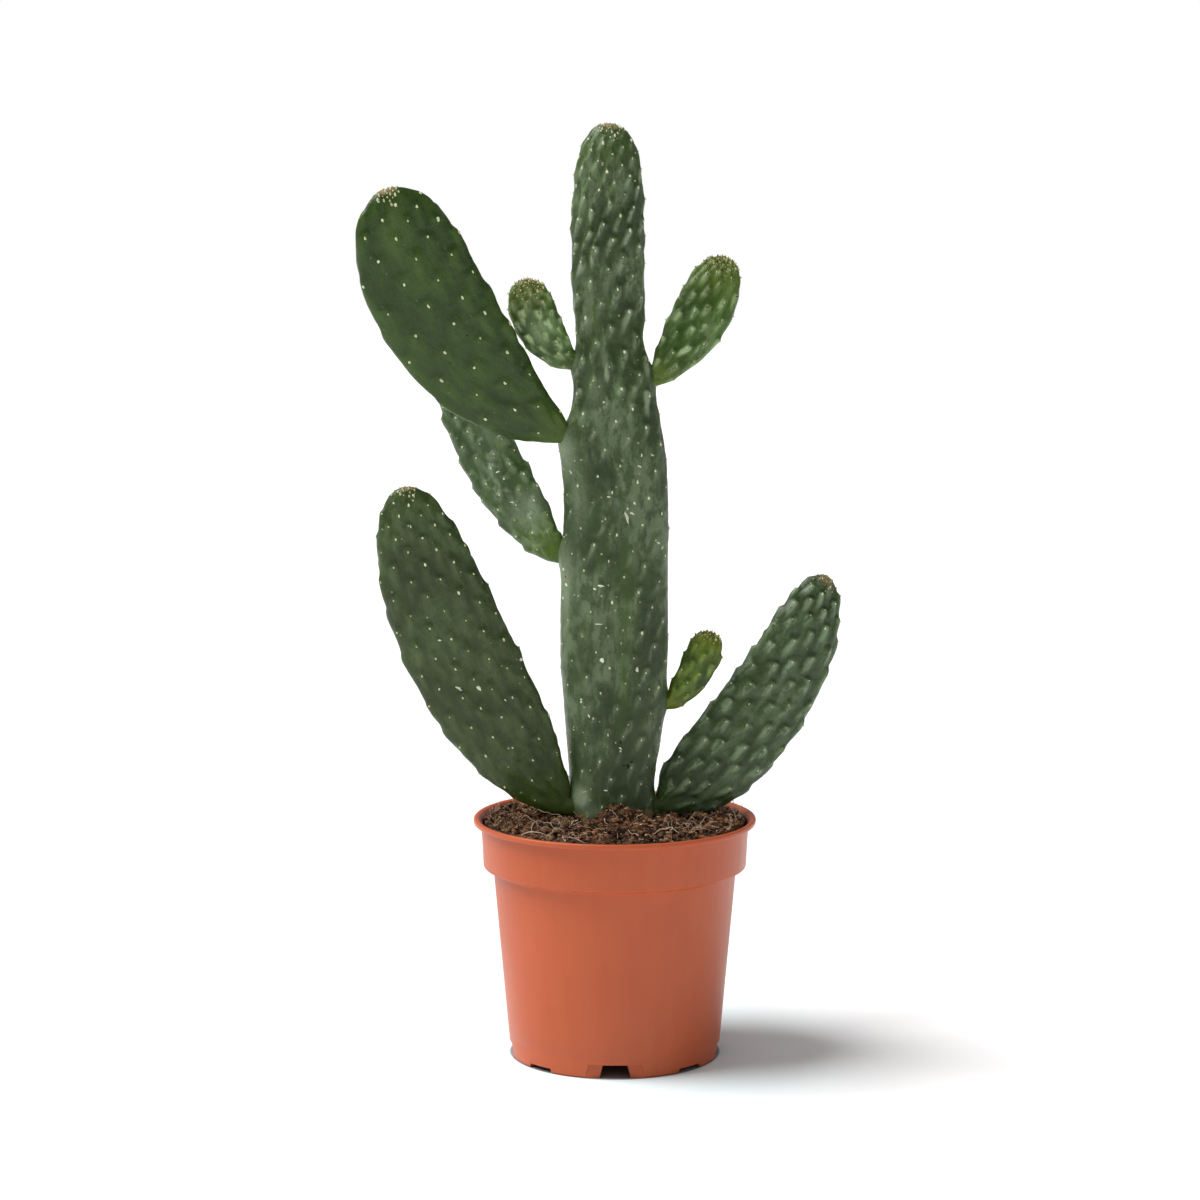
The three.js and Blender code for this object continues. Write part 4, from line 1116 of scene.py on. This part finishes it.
def crumb_pattern():
    """Small-scale dirt: the piece's own tint and noise add up to the share of the light colour."""
    tree, given = pattern_group(
        "crumb_pattern", dict(Place="Vector", Tint="Float", Dark="Color", Light="Color", Scale="Float"),
        dict(Colour="Color", Height="Float"))
    rough = given["Place"].noise(given["Scale"], 5.0, 0.65)
    share = given["Tint"] * 0.75 + (rough - 0.5) * 1.8
    base = share.highest(0.0).mixed(given["Dark"], given["Light"])
    put(tree, "NodeGroupOutput", dict(Colour=base, Height=rough))
    return tree


# ------------------------------------------------------------------ finishes


def skin_material(name, pattern, look, settings):
    """Waxy cactus skin of one stem."""
    material, tree, shader = blank_material(
        name, Subsurface_Weight=0.1, Subsurface_Radius=(0.5, 1.0, 0.25), Subsurface_Scale=0.003,
        Specular_IOR_Level=0.36)
    carried = {key.title(): attribute(tree, key) for key in ("crest", "fresh", "cork", "frost")}
    greens = {key.title(): painted(*look[key]) for key in ("deep", "middle", "bloom", "young")}
    skin = grouped(tree, pattern, Place=attribute(tree, "place", "Vector"), **carried, **greens,
                   Waxy=look["wax_and_sheen"] * settings.bloom, Cloudy=look["cloudy"] * settings.bloom,
                   Flecks=look["flecks"])
    finish(shader, skin["Colour"], skin["Roughness"], skin["Height"], 0.0007)
    return material


def felt_material(name, dark, light):
    """Matt felt or bristle, between two screen colours by its tint."""
    material, tree, shader = blank_material(name, Specular_IOR_Level=0.2)
    fuzz = object_place(tree).noise(1800.0, 2.0)
    share = attribute(tree, "tint") + (fuzz - 0.5) * 0.7
    base = share.highest(0.0).mixed(painted(*light), painted(*dark))
    finish(shader, base, fuzz.eased(0.2, 0.8, 0.75, 0.95), fuzz, 0.0002)
    return material


def compost_material(name, pattern, dark, light):
    """Peat, bark or grit, between two linear colours."""
    material, tree, shader = blank_material(name, Specular_IOR_Level=0.25)
    dirt = grouped(tree, pattern, Place=object_place(tree), Tint=attribute(tree, "tint"),
                   Dark=colour(dark), Light=colour(light), Scale=260.0)
    finish(shader, dirt["Colour"], dirt["Height"].eased(0.3, 0.7, 0.95, 0.75), dirt["Height"], 0.0009)
    return material


def plastic_material(settings):
    """Moulded terracotta plastic: faint clouds, drawn marks and pores, and inside a dark band that is partly
    compost stain and partly painted shade.

    The dark band lies where the distance from the pot's axis is less than that of the wall at the same
    height, so that it ends at the lip.
    """
    material, tree, shader = blank_material(
        "pot_plastic", Specular_IOR_Level=0.42, Subsurface_Weight=0.03,
        Subsurface_Radius=(1.0, 0.3, 0.15), Subsurface_Scale=0.002)
    place = object_place(tree)
    cloud = place.noise(14.0).eased(0.3, 0.7)
    drawn = place.drawn_out(0.08).noise(90.0, 2.0).eased(0.35, 0.65)
    pores = place.noise(1500.0, 2.0)
    base = cloud.mixed(colour(settings.tint), colour([part * 0.93 for part in settings.tint]))
    base = (drawn * 0.1).mixed(base, painted(206, 112, 70))
    east, north, up = (place.put("ShaderNodeSeparateXYZ", {0: place}, axis) for axis in "XYZ")
    radius = ((east - POT_AXIS_X).maths("POWER", 2.0) + north.maths("POWER", 2.0)).maths("SQRT")
    wall = up.eased(*COLLAR_INSIDE, "LINEAR") + up.eased(*LIP_INSIDE)
    # The inner wall between lip and compost is darkened: partly compost stain, partly painted shade.
    stained_and_shaded = (wall - radius).eased(*STAIN_AND_SHADE_EDGE) * up.eased(*STAIN_AND_SHADE_FOOT)
    smudge_and_shade = place.noise(160.0, 4.0).eased(0.3, 0.6, 0.55, 0.95)
    base = (stained_and_shaded * smudge_and_shade).mixed(base, painted(58, 26, 16))
    rough = (cloud + drawn).eased(0.0, 2.0, 0.36, 0.46)
    finish(shader, base, rough, pores * 0.12 + cloud * 0.3, 0.0006, 0.6)
    return material


# How each stem is coloured: 0 to 255 on the screen, shares of wax on crests, where it is also a
# painted highlight, and in clouds, and of pale flecks, and the width of the felt cushions
LOOKS = {
    "trunk": dict(deep=(32, 50, 16), middle=(64, 86, 38), bloom=(148, 166, 134), young=(66, 92, 12),
                  wax_and_sheen=0.68, cloudy=0.5, flecks=0.9, felt=1.2),
    "pad_upper_left": dict(deep=(30, 54, 2), middle=(48, 76, 8), bloom=(84, 112, 44), young=(72, 96, 20),
                           wax_and_sheen=0.25, cloudy=0.22, flecks=0.15, felt=1.7),
    "pad_behind_left": dict(deep=(40, 62, 22), middle=(66, 90, 38), bloom=(138, 156, 126),
                            young=(88, 116, 26), wax_and_sheen=0.55, cloudy=1.2, flecks=0.3, felt=1.1),
    "pad_lower_left": dict(deep=(36, 52, 14), middle=(56, 76, 26), bloom=(94, 112, 70), young=(72, 94, 28),
                           wax_and_sheen=0.35, cloudy=0.5, flecks=0.6, felt=1.25),
    "pad_lower_right": dict(deep=(36, 54, 20), middle=(62, 86, 38), bloom=(134, 156, 122), young=(70, 96, 28),
                            wax_and_sheen=0.8, cloudy=0.4, flecks=0.15, felt=1.0),
    "pad_small_left": dict(deep=(20, 42, 0), middle=(58, 100, 2), bloom=(176, 200, 146), young=(84, 98, 4),
                           wax_and_sheen=0.85, cloudy=0.35, flecks=0.0, felt=1.0),
    "pad_small_right": dict(deep=(34, 60, 6), middle=(68, 102, 18), bloom=(160, 184, 134),
                            young=(92, 112, 22), wax_and_sheen=0.9, cloudy=0.4, flecks=0.0, felt=1.0),
    "pad_small_lower_right": dict(deep=(38, 62, 0), middle=(74, 102, 0), bloom=(150, 174, 84),
                                  young=(102, 112, 6), wax_and_sheen=0.6, cloudy=0.5, flecks=0.0, felt=0.95),
}

# Healed scars: share of the stem's length, turn, half length and half width in mm, lean from upright
MARKS = {
    "trunk": (
        (0.483, 0.2080, 4.4, 1.0, 0.3), (0.4885, 0.1880, 2.0, 0.8, 1.1), (0.5021, 0.1780, 1.3, 0.8, 0.2),
        (0.3922, 0.3014, 2.2, 0.6, 1.5), (0.3879, 0.3281, 1.5, 0.7, 1.3), (0.4479, 0.0745, 1.6, 0.6, 1.2),
        (0.4407, 0.0523, 1.4, 0.6, -0.7), (0.5507, 0.1502, 1.4, 0.6, 1.2), (0.2923, 0.2959, 1.9, 1.5, 0.3),
        (0.2794, 0.1613, 1.7, 1.1, 0.1), (0.5107, 0.2781, 1.3, 0.4, 1.4), (0.3408, 0.3092, 3.0, 0.35, 1.6),
        (0.1124, 0.3904, 2.4, 0.5, 1.8), (0.4108, 0.4672, 1.3, 0.9, 0.2), (0.3908, 0.4527, 1.6, 1.0, 0.9),
        (0.3722, 0.4705, 1.2, 0.9, 0.0), (0.565, 0.0912, 1.3, 0.5, 1.0), (0.5421, 0.4305, 1.5, 0.6, 0.5),
        (0.2166, 0.3560, 1.3, 0.6, 0.4), (0.238, 0.3849, 1.1, 0.6, 1.1), (0.1738, 0.2214, 1.4, 0.7, 0.7),
        (0.1166, 0.2825, 1.6, 0.6, 1.5), (0.3, 0.7, 2.6, 0.8, 0.4), (0.42, 0.63, 1.8, 0.9, 1.2),
        (0.55, 0.8, 1.6, 0.6, 0.9), (0.2, 0.86, 2.0, 1.1, 0.2), (0.66, 0.72, 1.4, 0.5, 1.4)),
    "pad_upper_left": ((0.4, 0.72, 1.6, 0.5, 0.5), (0.62, 0.85, 1.3, 0.7, 1.2)),
    "pad_behind_left": (
        (0.2723, 0.2692, 1.5, 0.5, 0.7), (0.4108, 0.2380, 1.6, 0.6, 1.3), (0.33, 0.8, 1.4, 0.5, 0.2)),
    "pad_lower_left": (
        (0.4365, 0.3226, 2.6, 0.9, 0.5), (0.4108, 0.2458, 2.4, 1.3, 0.1), (0.4193, 0.0189, 1.6, 1.3, 0.2),
        (0.5792, 0.3048, 1.2, 0.5, 1.0), (0.3437, 0.1691, 1.3, 0.4, 0.4), (0.5, 0.7, 2.0, 0.7, 0.8)),
    "pad_lower_right": ((0.55, 0.8, 1.5, 0.5, 0.5), (0.3, 0.65, 1.7, 0.8, 1.1)),
}

# Small pits: near-black discs on the skin whose colour is partly dark tissue and partly painted shade of a
# sunken hole that they lack, in the same numbers
PITS = {
    "trunk": (
        (0.1490, 0.1800, 1.7, 1.2, 0.2), (0.1545, 0.1660, 1.2, 0.9, 0.9), (0.1500, 0.1990, 1.1, 0.8, 1.4),
        (0.1823, 0.2214, 1.3, 0.8, 0.4), (0.4020, 0.4560, 0.8, 0.5, 0.2), (0.32, 0.74, 1.0, 0.6, 0.3)),
    "pad_upper_left": ((0.475, 0.2, 0.8, 0.6, 0.1), (0.44, 0.33, 0.6, 0.5, 0.8)),
}

# Corky tan spots, and pale frosted spots of wax that in places are painted light: centre and radii in mm,
# strength
CORK = {
    "trunk": (
        ((-20, -12, 145), (7, 9, 6), 0.8), ((21, -9, 147), (5, 8, 5), 0.9), ((-29, -8, 291), (3, 8, 6), 0.5),
        ((-12, -17, 145), (4, 8, 4), 0.5), ((-2, -3, 558), (10, 12, 6), 0.66)),
    "pad_upper_left": (((-131, -47, 518.5), (9, 10, 5), 0.66),),
    "pad_lower_left": (((-121.5, -34, 348), (8, 10, 5), 0.7),),
    "pad_lower_right": (((24, 0, 148), (6, 14, 4), 0.6), ((129, 32, 286), (9, 10, 8), 0.66)),
}
FROST_AND_LIGHT_SPOTS = {
    "trunk": (
        # The two on the trunk's left flank below the joints of the two left paddles paint the light that
        # falls on that flank.
        ((-31, -8, 364), (7, 14, 14), 0.95), ((-31, -8, 288), (8, 14, 22), 0.9),
        ((-21, -12, 158), (6, 10, 7), 1.4), ((-14, -15, 150), (5, 10, 5), 0.7),
        ((-26, -10, 420), (6, 14, 7), 0.7), ((-22, -14, 332), (5, 12, 18), 0.5),
        ((-12, -18, 402), (8, 10, 12), 0.4)),
    "pad_behind_left": (((-53, 8, 328), (12, 30, 12), 0.95), ((-76, 20, 372), (12, 30, 14), 0.4)),
    "pad_small_left": (((-42, -8, 438), (8, 20, 9), 0.5),),
    "pad_upper_left": (((-128, -50, 496), (7, 14, 22), 0.5),),
}

# Yellow-green skin at a paddle's foot: the shares of its length between which it fades, and its strength
FRESH = {
    "pad_behind_left": (0.02, 0.24, 0.6), "pad_upper_left": (0.0, 0.14, 0.9),
    "pad_lower_left": (0.02, 0.16, 0.8), "pad_lower_right": (0.0, 0.08, 0.5),
    "pad_small_left": (0.0, 0.2, 0.6), "pad_small_right": (0.0, 0.2, 0.6),
    "pad_small_lower_right": (0.0, 0.2, 0.6),
}

# New areoles that crowd on each tip: the middle of the crowd, its reach and the gap between them in mm
TIP_CROWDS = {
    "trunk": ((-2, -3, 557), 10, 2.7),
    "pad_upper_left": ((-131.5, -46, 518.5), 9, 3.0),
    "pad_behind_left": ((-103.8, 40, 426.3), 9, 2.6),
    "pad_lower_left": ((-121.5, -33, 347.5), 9, 3.0),
    "pad_lower_right": ((129, 31, 285.5), 10.5, 3.0),
    "pad_small_left": ((-52.5, -10, 465), 13.5, 2.3),
    "pad_small_right": ((64.5, 17, 477.5), 13, 2.2),
    "pad_small_lower_right": ((57, 8, 255), 9, 2.0),
}

# A yellow-green streak up the front of the trunk: its middle and half width, and the heights in mm
# between which it comes and goes
STREAK_MIDDLE, STREAK_WIDTH = 6, 5
STREAK_COMES, STREAK_GOES = (180, 230), (330, 290)

# Felt and bristle of old and young skin: name, dark and light screen colour. Width and height of the
# cushions that crowd on a tip against the others, and length of the leaf scales there
AREOLE_LOOKS = {
    "mature": dict(felt=("cream_felt", (150, 130, 78), (230, 234, 196)),
                   bristle=("tan_bristle", (126, 98, 54), (206, 196, 140)), crowd=(0.8, 1.3), leaf=0.75),
    "young": dict(felt=("tawny_felt", (132, 104, 50), (230, 226, 166)),
                  bristle=("amber_bristle", (96, 62, 26), (208, 184, 100)), crowd=(1.1, 1.7), leaf=1.15),
}

# Screen colours of what lies on the peat
COMPOST_LOOKS = {
    "dry_peat": ((70, 44, 28), (246, 208, 160)), "pale_grit": ((176, 156, 128), (236, 228, 212)),
    "peat_fibre": ((84, 50, 30), (196, 142, 98)), "root_hair": ((196, 160, 126), (252, 234, 208)),
}

# Root hairs: count, seed, reach, shortest, longest, lift, calmness and the place that they lie round
ROOT_HAIRS = (
    (64, 13, 73, 6, 30, 2.2, 1.8, (0, 0)), (46, 17, 13, 6, 16, 3.4, 1.0, (46, -30)),
    (22, 19, 11, 14, 40, 2.0, 2.6, (-34, -50)), (20, 23, 9, 5, 14, 3.4, 1.4, (-26, -20)))
GRIT_COUNT = 70
RIM_HAIR_COUNT = 60
RIM_HAIR_THICKNESS = 0.18

# The floor in metres: its size, how far from the pot's axis its cooler tint, painted to cool the pot's
# shadow, fades, and where its painted contact shadow ends
FLOOR_RADIUS = 12
FLOOR_SIDES = 48
FLOOR_DROP = 0.0002
SHADOW_COOL_REACH = (0.07, 0.2)
SHADOW_COOL_SHARES = (0.86, 0.99, 1.01)
CONTACT_SHADOW_REACH = (0.0628, 0.0645)
CONTACT_SHADOW_COLOUR = (0.3, 0.3, 0.305)
FRAME_PIXELS = 1200
FOCAL_PIXELS = 3037.75
CAMERA_PLACE = (POT_AXIS_X - 0.00891, -1.8, 0.5074)
CAMERA_TILT = 0.1278
SENSOR_WIDTH = 36
WHITE = (1, 1, 1, 1)

# ------------------------------------------------------------------ settings


def colour_setting(name, description, default):
    return FloatVectorProperty(name=name, description=description, subtype="COLOR", size=3, min=0, max=1,
                               default=default)


def length_setting(name, description, default, shortest=0):
    return FloatProperty(name=name, description=description, default=default, min=shortest, max=0.01,
                         subtype="DISTANCE", unit="LENGTH", precision=5)


def angle_setting(name, description, degrees):
    return FloatProperty(name=name, description=description, default=math.radians(degrees), subtype="ANGLE")


def count_setting(name, description, default, most):
    return IntProperty(name=name, description=description, default=default, min=2, max=most)


class PotSettings(bpy.types.PropertyGroup):
    tint: colour_setting("Tint", "Colour of the pot's plastic", shade(184, 82, 39))
    soft_edge: angle_setting("Smooth below", "Edges flatter than this are smooth", 28)


class SkinSettings(bpy.types.PropertyGroup):
    fineness: length_setting("Fineness", "Distance between points of the skin", 0.00095, 0.0006)
    # Bloom scales the wax, which on the crests is also a painted highlight.
    bloom: FloatProperty(name="Bloom", description="Strength of the grey wax on the crests",
                         default=1.0, min=0, max=1.5, subtype="FACTOR")


class AreoleSettings(bpy.types.PropertyGroup):
    fullness: FloatProperty(name="Fullness", description="Size of the felt cushions against the usual",
                            default=1.0, min=0.3, max=2, subtype="FACTOR")
    bristles: count_setting("Bristles", "Bristles on each areole", 8, 30)
    bristle_length: length_setting("Bristle length", "Mean length of a bristle", 0.0006)
    scale_length: length_setting("Leaf length", "Mean length of the small leaves of a tip", 0.0013)


class CompostSettings(bpy.types.PropertyGroup):
    crumbs: count_setting("Crumbs", "Loose lumps on the compost", 5000, 5400)
    dry_crumbs: count_setting("Dry crumbs", "Small pale lumps on the compost", 5200, 5400)
    fibres: count_setting("Fibres", "Peat fibres on the compost", 420, 1500)
    dark: colour_setting("Dark", "Colour of the moist peat", shade(24, 12, 8))
    light: colour_setting("Light", "Colour of the dry peat", shade(186, 130, 88))


class StudioSettings(bpy.types.PropertyGroup):
    key_strength: FloatProperty(name="Key light", description="Strength of the large soft light on the left",
                                default=3.8, min=0, max=10)
    key_height: angle_setting("Key height", "Angle of the key light above the floor", 55)
    key_side: angle_setting("Key side", "Turn of the key light from the viewer to the left", 88)
    key_softness: angle_setting("Key softness", "Width of the key light, seen as an angle", 40)
    ambient: FloatProperty(name="Ambient", description="Strength of the light from all round",
                           default=0.355, min=0, max=3)
    floor_tint: colour_setting("Floor", "Colour of the floor", (0.985, 0.985, 0.985))


# ------------------------------------------------------------------ what each stem wears


def fresh_share(name, points, along):
    """How yellow-green the skin is. On a paddle it fades from the foot by FRESH, and a young one is
    fresh at its tip too. On the trunk it is the tip, and a streak in front: a bell of the distance
    sideways, between two heights.
    """
    if name == "trunk":
        x, y, z = points.T
        streak = np.exp(-(((x - STREAK_MIDDLE) / STREAK_WIDTH) ** 2))
        streak *= ease(*STREAK_COMES, z) * ease(*STREAK_GOES, z)
        return 0.35 * ease(TIP_START, 1, along) + 0.45 * streak * (y < 0)
    low, high, share = FRESH[name]
    fresh = share * (1 - ease(low, high, along))
    if name in YOUNG:
        fresh = np.maximum(fresh, 0.75 * ease(0.55, 0.95, along))
    return fresh


def spotted(points, spots):
    """The strongest of some soft spots: a bell of the distance measured in each spot's radii."""
    shown = np.zeros(len(points))
    for centre, radii, strength in spots:
        far = ((points - np.array(centre)) / np.array(radii)) ** 2
        shown = np.maximum(shown, strength * np.exp(-far.sum(1)))
    return shown


def gathered(name, parts, material, slot):
    """One piece of several sets of points, faces and tints."""
    points, faces, tint = joined(parts)
    return new_piece(name, points, faces, material, slot, tint=tint)


# ------------------------------------------------------------------ operators


class CACTUS_OT_pot(bpy.types.Operator):
    """Makes the nursery pot with its foot ring, doors, slots, drain holes and rolled lip"""

    bl_idname = "cactus.pot"
    bl_label = "Pot"

    def execute(self, context):
        settings = context.scene.cactus_pot
        material = plastic_material(settings)
        pot = new_piece("nursery_pot", *pot_rings(), material, "pot_plastic")
        mesh = bmesh.new()
        mesh.from_mesh(pot.data)
        bmesh.ops.remove_doubles(mesh, verts=mesh.verts, dist=WELD)
        bmesh.ops.dissolve_degenerate(mesh, edges=mesh.edges, dist=WELD)
        mesh.to_mesh(pot.data)
        mesh.free()
        rods = new_piece("drain_rods", *drain_cutters(), material, "pot_plastic")
        cut = pot.modifiers.new("drain holes", "BOOLEAN")
        cut.operation, cut.object, cut.solver = "DIFFERENCE", rods, "EXACT"
        context.view_layer.update()
        finished = bpy.data.meshes.new_from_object(pot.evaluated_get(context.evaluated_depsgraph_get()))
        if len(finished.polygons) <= len(pot.data.polygons):
            raise RuntimeError("the drain holes could not be cut")
        pot.modifiers.clear()
        pot.data = finished
        bpy.data.objects.remove(rods)
        pot.data.set_sharp_from_angle(angle=settings.soft_edge)
        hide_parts("pot")
        return {"FINISHED"}


class CACTUS_OT_compost(bpy.types.Operator):
    """Makes the bed of peat compost with its crumbs, fibres, grit and root hairs"""

    bl_idname = "cactus.compost"
    bl_label = "Compost"

    def execute(self, context):
        settings = context.scene.cactus_compost
        pattern = crumb_pattern()
        peat = compost_material("peat", pattern, settings.dark, settings.light)
        dry, grit, brown, pale = (
            compost_material(name, pattern, *(shade(*tone) for tone in tones))
            for name, tones in COMPOST_LOOKS.items())
        points, faces = compost_surface(BED_RINGS, BED_COLUMNS)
        # The bed is darker in its hollows: painted shade together with moister peat.
        low = points[:, 2] - heaped_height(points[:, 0], points[:, 1])
        tint = (0.2 + 0.3 * lattice_noise(points / 9, 4)) * ease(-1.6, 1.6, low)
        bed = new_piece("compost_bed", points, faces, peat, "compost", tint=tint)
        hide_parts("potting_soil")
        # count, seed, smallest and largest size in mm, how few are large, how fast the tint fades
        for name, material, count, seed, smallest, largest, few, fading in (
                ("peat_crumbs", peat, settings.crumbs, 2, 0.3, 2.2, 5, 1.8),
                ("dry_crumbs", dry, settings.dry_crumbs // 2, 3, 0.4, 1.5, 3, 1),
                ("peat_dust", dry, settings.dry_crumbs, 4, 0.22, 0.6, 5, 1),
                ("pale_grit", grit, GRIT_COUNT, 5, 0.6, 1.7, 5, 1)):
            points, faces, tint = crumbs(count, seed, smallest, largest, few)
            new_piece(name, points, faces, material, "compost", tint=tint**fading)
        # numbers for fibre_paths, thickness of the thinnest in mm and how much thicker others are
        for name, material, strewn, thin, spread in (
                ("peat_fibres", brown, [(settings.fibres, 7, 75, 3, 22, 2.4)], 0.18, 0.34),
                ("root_hairs", pale, ROOT_HAIRS, 0.22, 0.36)):
            parts = zip(*(fibre_paths(*numbers) for numbers in strewn))
            key, paths = (np.concatenate(part) for part in parts)
            points, faces, size = tubes(paths, thin + spread * chance(key + 0.05))
            new_piece(name, points, faces, material, "compost", tint=np.repeat(chance(key + 0.55), size))
        thick = np.full(RIM_HAIR_COUNT, RIM_HAIR_THICKNESS)
        points, faces, _ = tubes(rim_hairs(RIM_HAIR_COUNT, 21), thick)
        new_piece("rim_hairs", points, faces, pale, "compost", tint=np.full(len(points), 0.3))
        return {"FINISHED"}


class CACTUS_OT_stems(bpy.types.Operator):
    """Makes the skin of the trunk and of the seven paddles, with tubercles, shoulders and ripples"""

    bl_idname = "cactus.stems"
    bl_label = "Stems"

    def execute(self, context):
        settings = context.scene.cactus_skin
        pattern = skin_pattern()
        for name, stem in STEMS.items():
            points, faces, along, crest, place = stem_surface(stem, settings.fineness * 1000)
            cork, frost = (spotted(points, spots.get(name, ())) for spots in (CORK, FROST_AND_LIGHT_SPOTS))
            material = skin_material(f"{name}_skin", pattern, LOOKS[name], settings)
            skin = new_piece(f"{name}_skin", points, faces, material, f"{AGES[name]}_skin", place=place,
                             crest=crest, fresh=fresh_share(name, points, along), cork=cork, frost=frost)
            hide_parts(name)
        return {"FINISHED"}


class CACTUS_OT_areoles(bpy.types.Operator):
    """Makes the felt cushions, bristles and leaf scales of every areole, and the scars and pits"""

    bl_idname = "cactus.areoles"
    bl_label = "Areoles"

    def execute(self, context):
        settings = context.scene.cactus_areoles
        length = settings.bristle_length * 1000
        leaf_length = settings.scale_length * 1000
        leaves = {}
        for age, look in AREOLE_LOOKS.items():
            tops, tufts, leaves[age] = [], [], []
            for name in (name for name, own in AGES.items() if own == age):
                stem, width = STEMS[name], LOOKS[name]["felt"] * settings.fullness
                grown, crowd = grown_spots(stem), tip_spots(stem, *TIP_CROWDS[name])
                wide, high = look["crowd"]
                tops += [cushions(stem, grown, width, 0.0), cushions(stem, crowd, wide * width, 0.3, high)]
                tufts += [bristles(stem, grown, settings.bristles, length),
                          bristles(stem, crowd, settings.bristles // 2, 0.8 * length)]
                leaves[age].append(leaf_scales(stem, crowd, 0.0, look["leaf"] * leaf_length))
                if age == "young":
                    leaves[age].append(leaf_scales(stem, grown, 0.55, leaf_length))
            gathered(f"{age}_areoles", tops, felt_material(*look["felt"]), f"{age}_skin")
            gathered(f"{age}_bristles", tufts, felt_material(*look["bristle"]), f"{age}_skin")
        for name, material, marks in (
                ("healed_scars", felt_material("healed_scar", (166, 166, 128), (232, 236, 214)), MARKS),
                # Pits: near-black discs, partly dark tissue and partly painted shade of a hole.
                ("pits_dark_and_shaded", felt_material("pit_dark_and_shaded", (20, 20, 10), (48, 42, 24)), PITS)):
            parts = [healed_marks(STEMS[stem], own) for stem, own in marks.items()]
            gathered(name, parts, material, "mature_skin")
        brown = felt_material("leaf_scale", (46, 28, 12), (92, 78, 30))
        for age, grown in leaves.items():
            gathered(f"{age}_leaf_scales", grown, brown, f"{age}_skin")
        return {"FINISHED"}


class CACTUS_OT_stage(bpy.types.Operator):
    """Sets up the pale floor, the studio light and the camera"""

    bl_idname = "cactus.stage"
    bl_label = "Stage"

    def execute(self, context):
        settings = context.scene.cactus_studio
        mesh = bpy.data.meshes.new("floor")
        ring = around_axis(FLOOR_RADIUS, np.arange(FLOOR_SIDES) * 2 * np.pi / FLOOR_SIDES, -FLOOR_DROP)
        mesh.from_pydata(ring.tolist(), [], [list(range(FLOOR_SIDES))])
        material, tree, shader = blank_material("floor", Specular_IOR_Level=0.1, Roughness=0.9)
        place = object_place(tree)
        away = place.put("ShaderNodeVectorMath", {0: place, 1: (POT_AXIS_X, 0, 0)}, "Value",
                         operation="DISTANCE")
        # Near the pot the floor is painted cooler, to cool the colour of the pot's shadow on it.
        shadow_cool = colour([part * share for part, share in zip(settings.floor_tint, SHADOW_COOL_SHARES)])
        base = away.eased(*SHADOW_COOL_REACH).mixed(shadow_cool, colour(settings.floor_tint))
        # A thin dark ring round the pot's foot is a painted contact shadow.
        base = away.eased(*CONTACT_SHADOW_REACH).mixed(colour(CONTACT_SHADOW_COLOUR), base)
        tree.links.new(base.socket, shader.inputs["Base Color"])
        mesh.materials.append(material)
        floor = bpy.data.objects.new("floor", mesh)
        context.collection.objects.link(floor)

        world = bpy.data.worlds.new("studio")
        world.use_nodes = True
        context.scene.world = world
        tree = world.node_tree
        lit = tree.nodes["Background"]
        lit.inputs["Color"].default_value = WHITE
        lit.inputs["Strength"].default_value = settings.ambient
        shown = put(tree, "ShaderNodeBackground", {"Color": WHITE, "Strength": 1.0}).outputs[0]
        seen = put(tree, "ShaderNodeLightPath").outputs["Is Camera Ray"]
        both = put(tree, "ShaderNodeMixShader", {0: seen, 1: lit.outputs[0], 2: shown}).outputs[0]
        tree.links.new(both, tree.nodes["World Output"].inputs["Surface"])

        light = bpy.data.lights.new("key", "SUN")
        light.energy, light.angle = settings.key_strength, settings.key_softness
        key = bpy.data.objects.new("key", light)
        key.location = (-1, -1, 1.5)
        key.rotation_euler = (math.pi / 2 - settings.key_height, 0, -settings.key_side)
        context.collection.objects.link(key)

        camera = bpy.data.cameras.new("camera")
        camera.sensor_width = SENSOR_WIDTH
        camera.lens = FOCAL_PIXELS / FRAME_PIXELS * SENSOR_WIDTH
        camera.clip_end = 50
        view = bpy.data.objects.new("camera", camera)
        view.location = CAMERA_PLACE
        view.rotation_euler = (math.pi / 2 - CAMERA_TILT, 0, 0)
        context.collection.objects.link(view)
        context.scene.camera = view
        context.scene.view_settings.view_transform = "Standard"
        return {"FINISHED"}


class CACTUS_PT_panel(bpy.types.Panel):
    """Lists the parts of the plant, each with its settings"""

    bl_label = "Potted paddle cactus"
    bl_idname = "CACTUS_PT_panel"
    bl_space_type = "VIEW_3D"
    bl_region_type = "UI"
    bl_category = "Cactus"

    def draw(self, context):
        for operator, name, group in PARTS:
            box = self.layout.box()
            box.operator(operator.bl_idname)
            for key in group.__annotations__:
                box.prop(getattr(context.scene, name), key)


PARTS = (
    (CACTUS_OT_pot, "cactus_pot", PotSettings),
    (CACTUS_OT_compost, "cactus_compost", CompostSettings),
    (CACTUS_OT_stems, "cactus_skin", SkinSettings),
    (CACTUS_OT_areoles, "cactus_areoles", AreoleSettings),
    (CACTUS_OT_stage, "cactus_studio", StudioSettings),
)


def register():
    for operator, name, group in PARTS:
        bpy.utils.register_class(group)
        setattr(bpy.types.Scene, name, PointerProperty(type=group))
        bpy.utils.register_class(operator)
    bpy.utils.register_class(CACTUS_PT_panel)


def unregister():
    bpy.utils.unregister_class(CACTUS_PT_panel)
    for operator, name, group in reversed(PARTS):
        bpy.utils.unregister_class(operator)
        delattr(bpy.types.Scene, name)
        bpy.utils.unregister_class(group)


def main():
    """Makes every part in order."""
    register()
    for operator, _, _ in PARTS:
        section, name = operator.bl_idname.split(".")
        getattr(getattr(bpy.ops, section), name)()


if __name__ == "__main__":
    main()
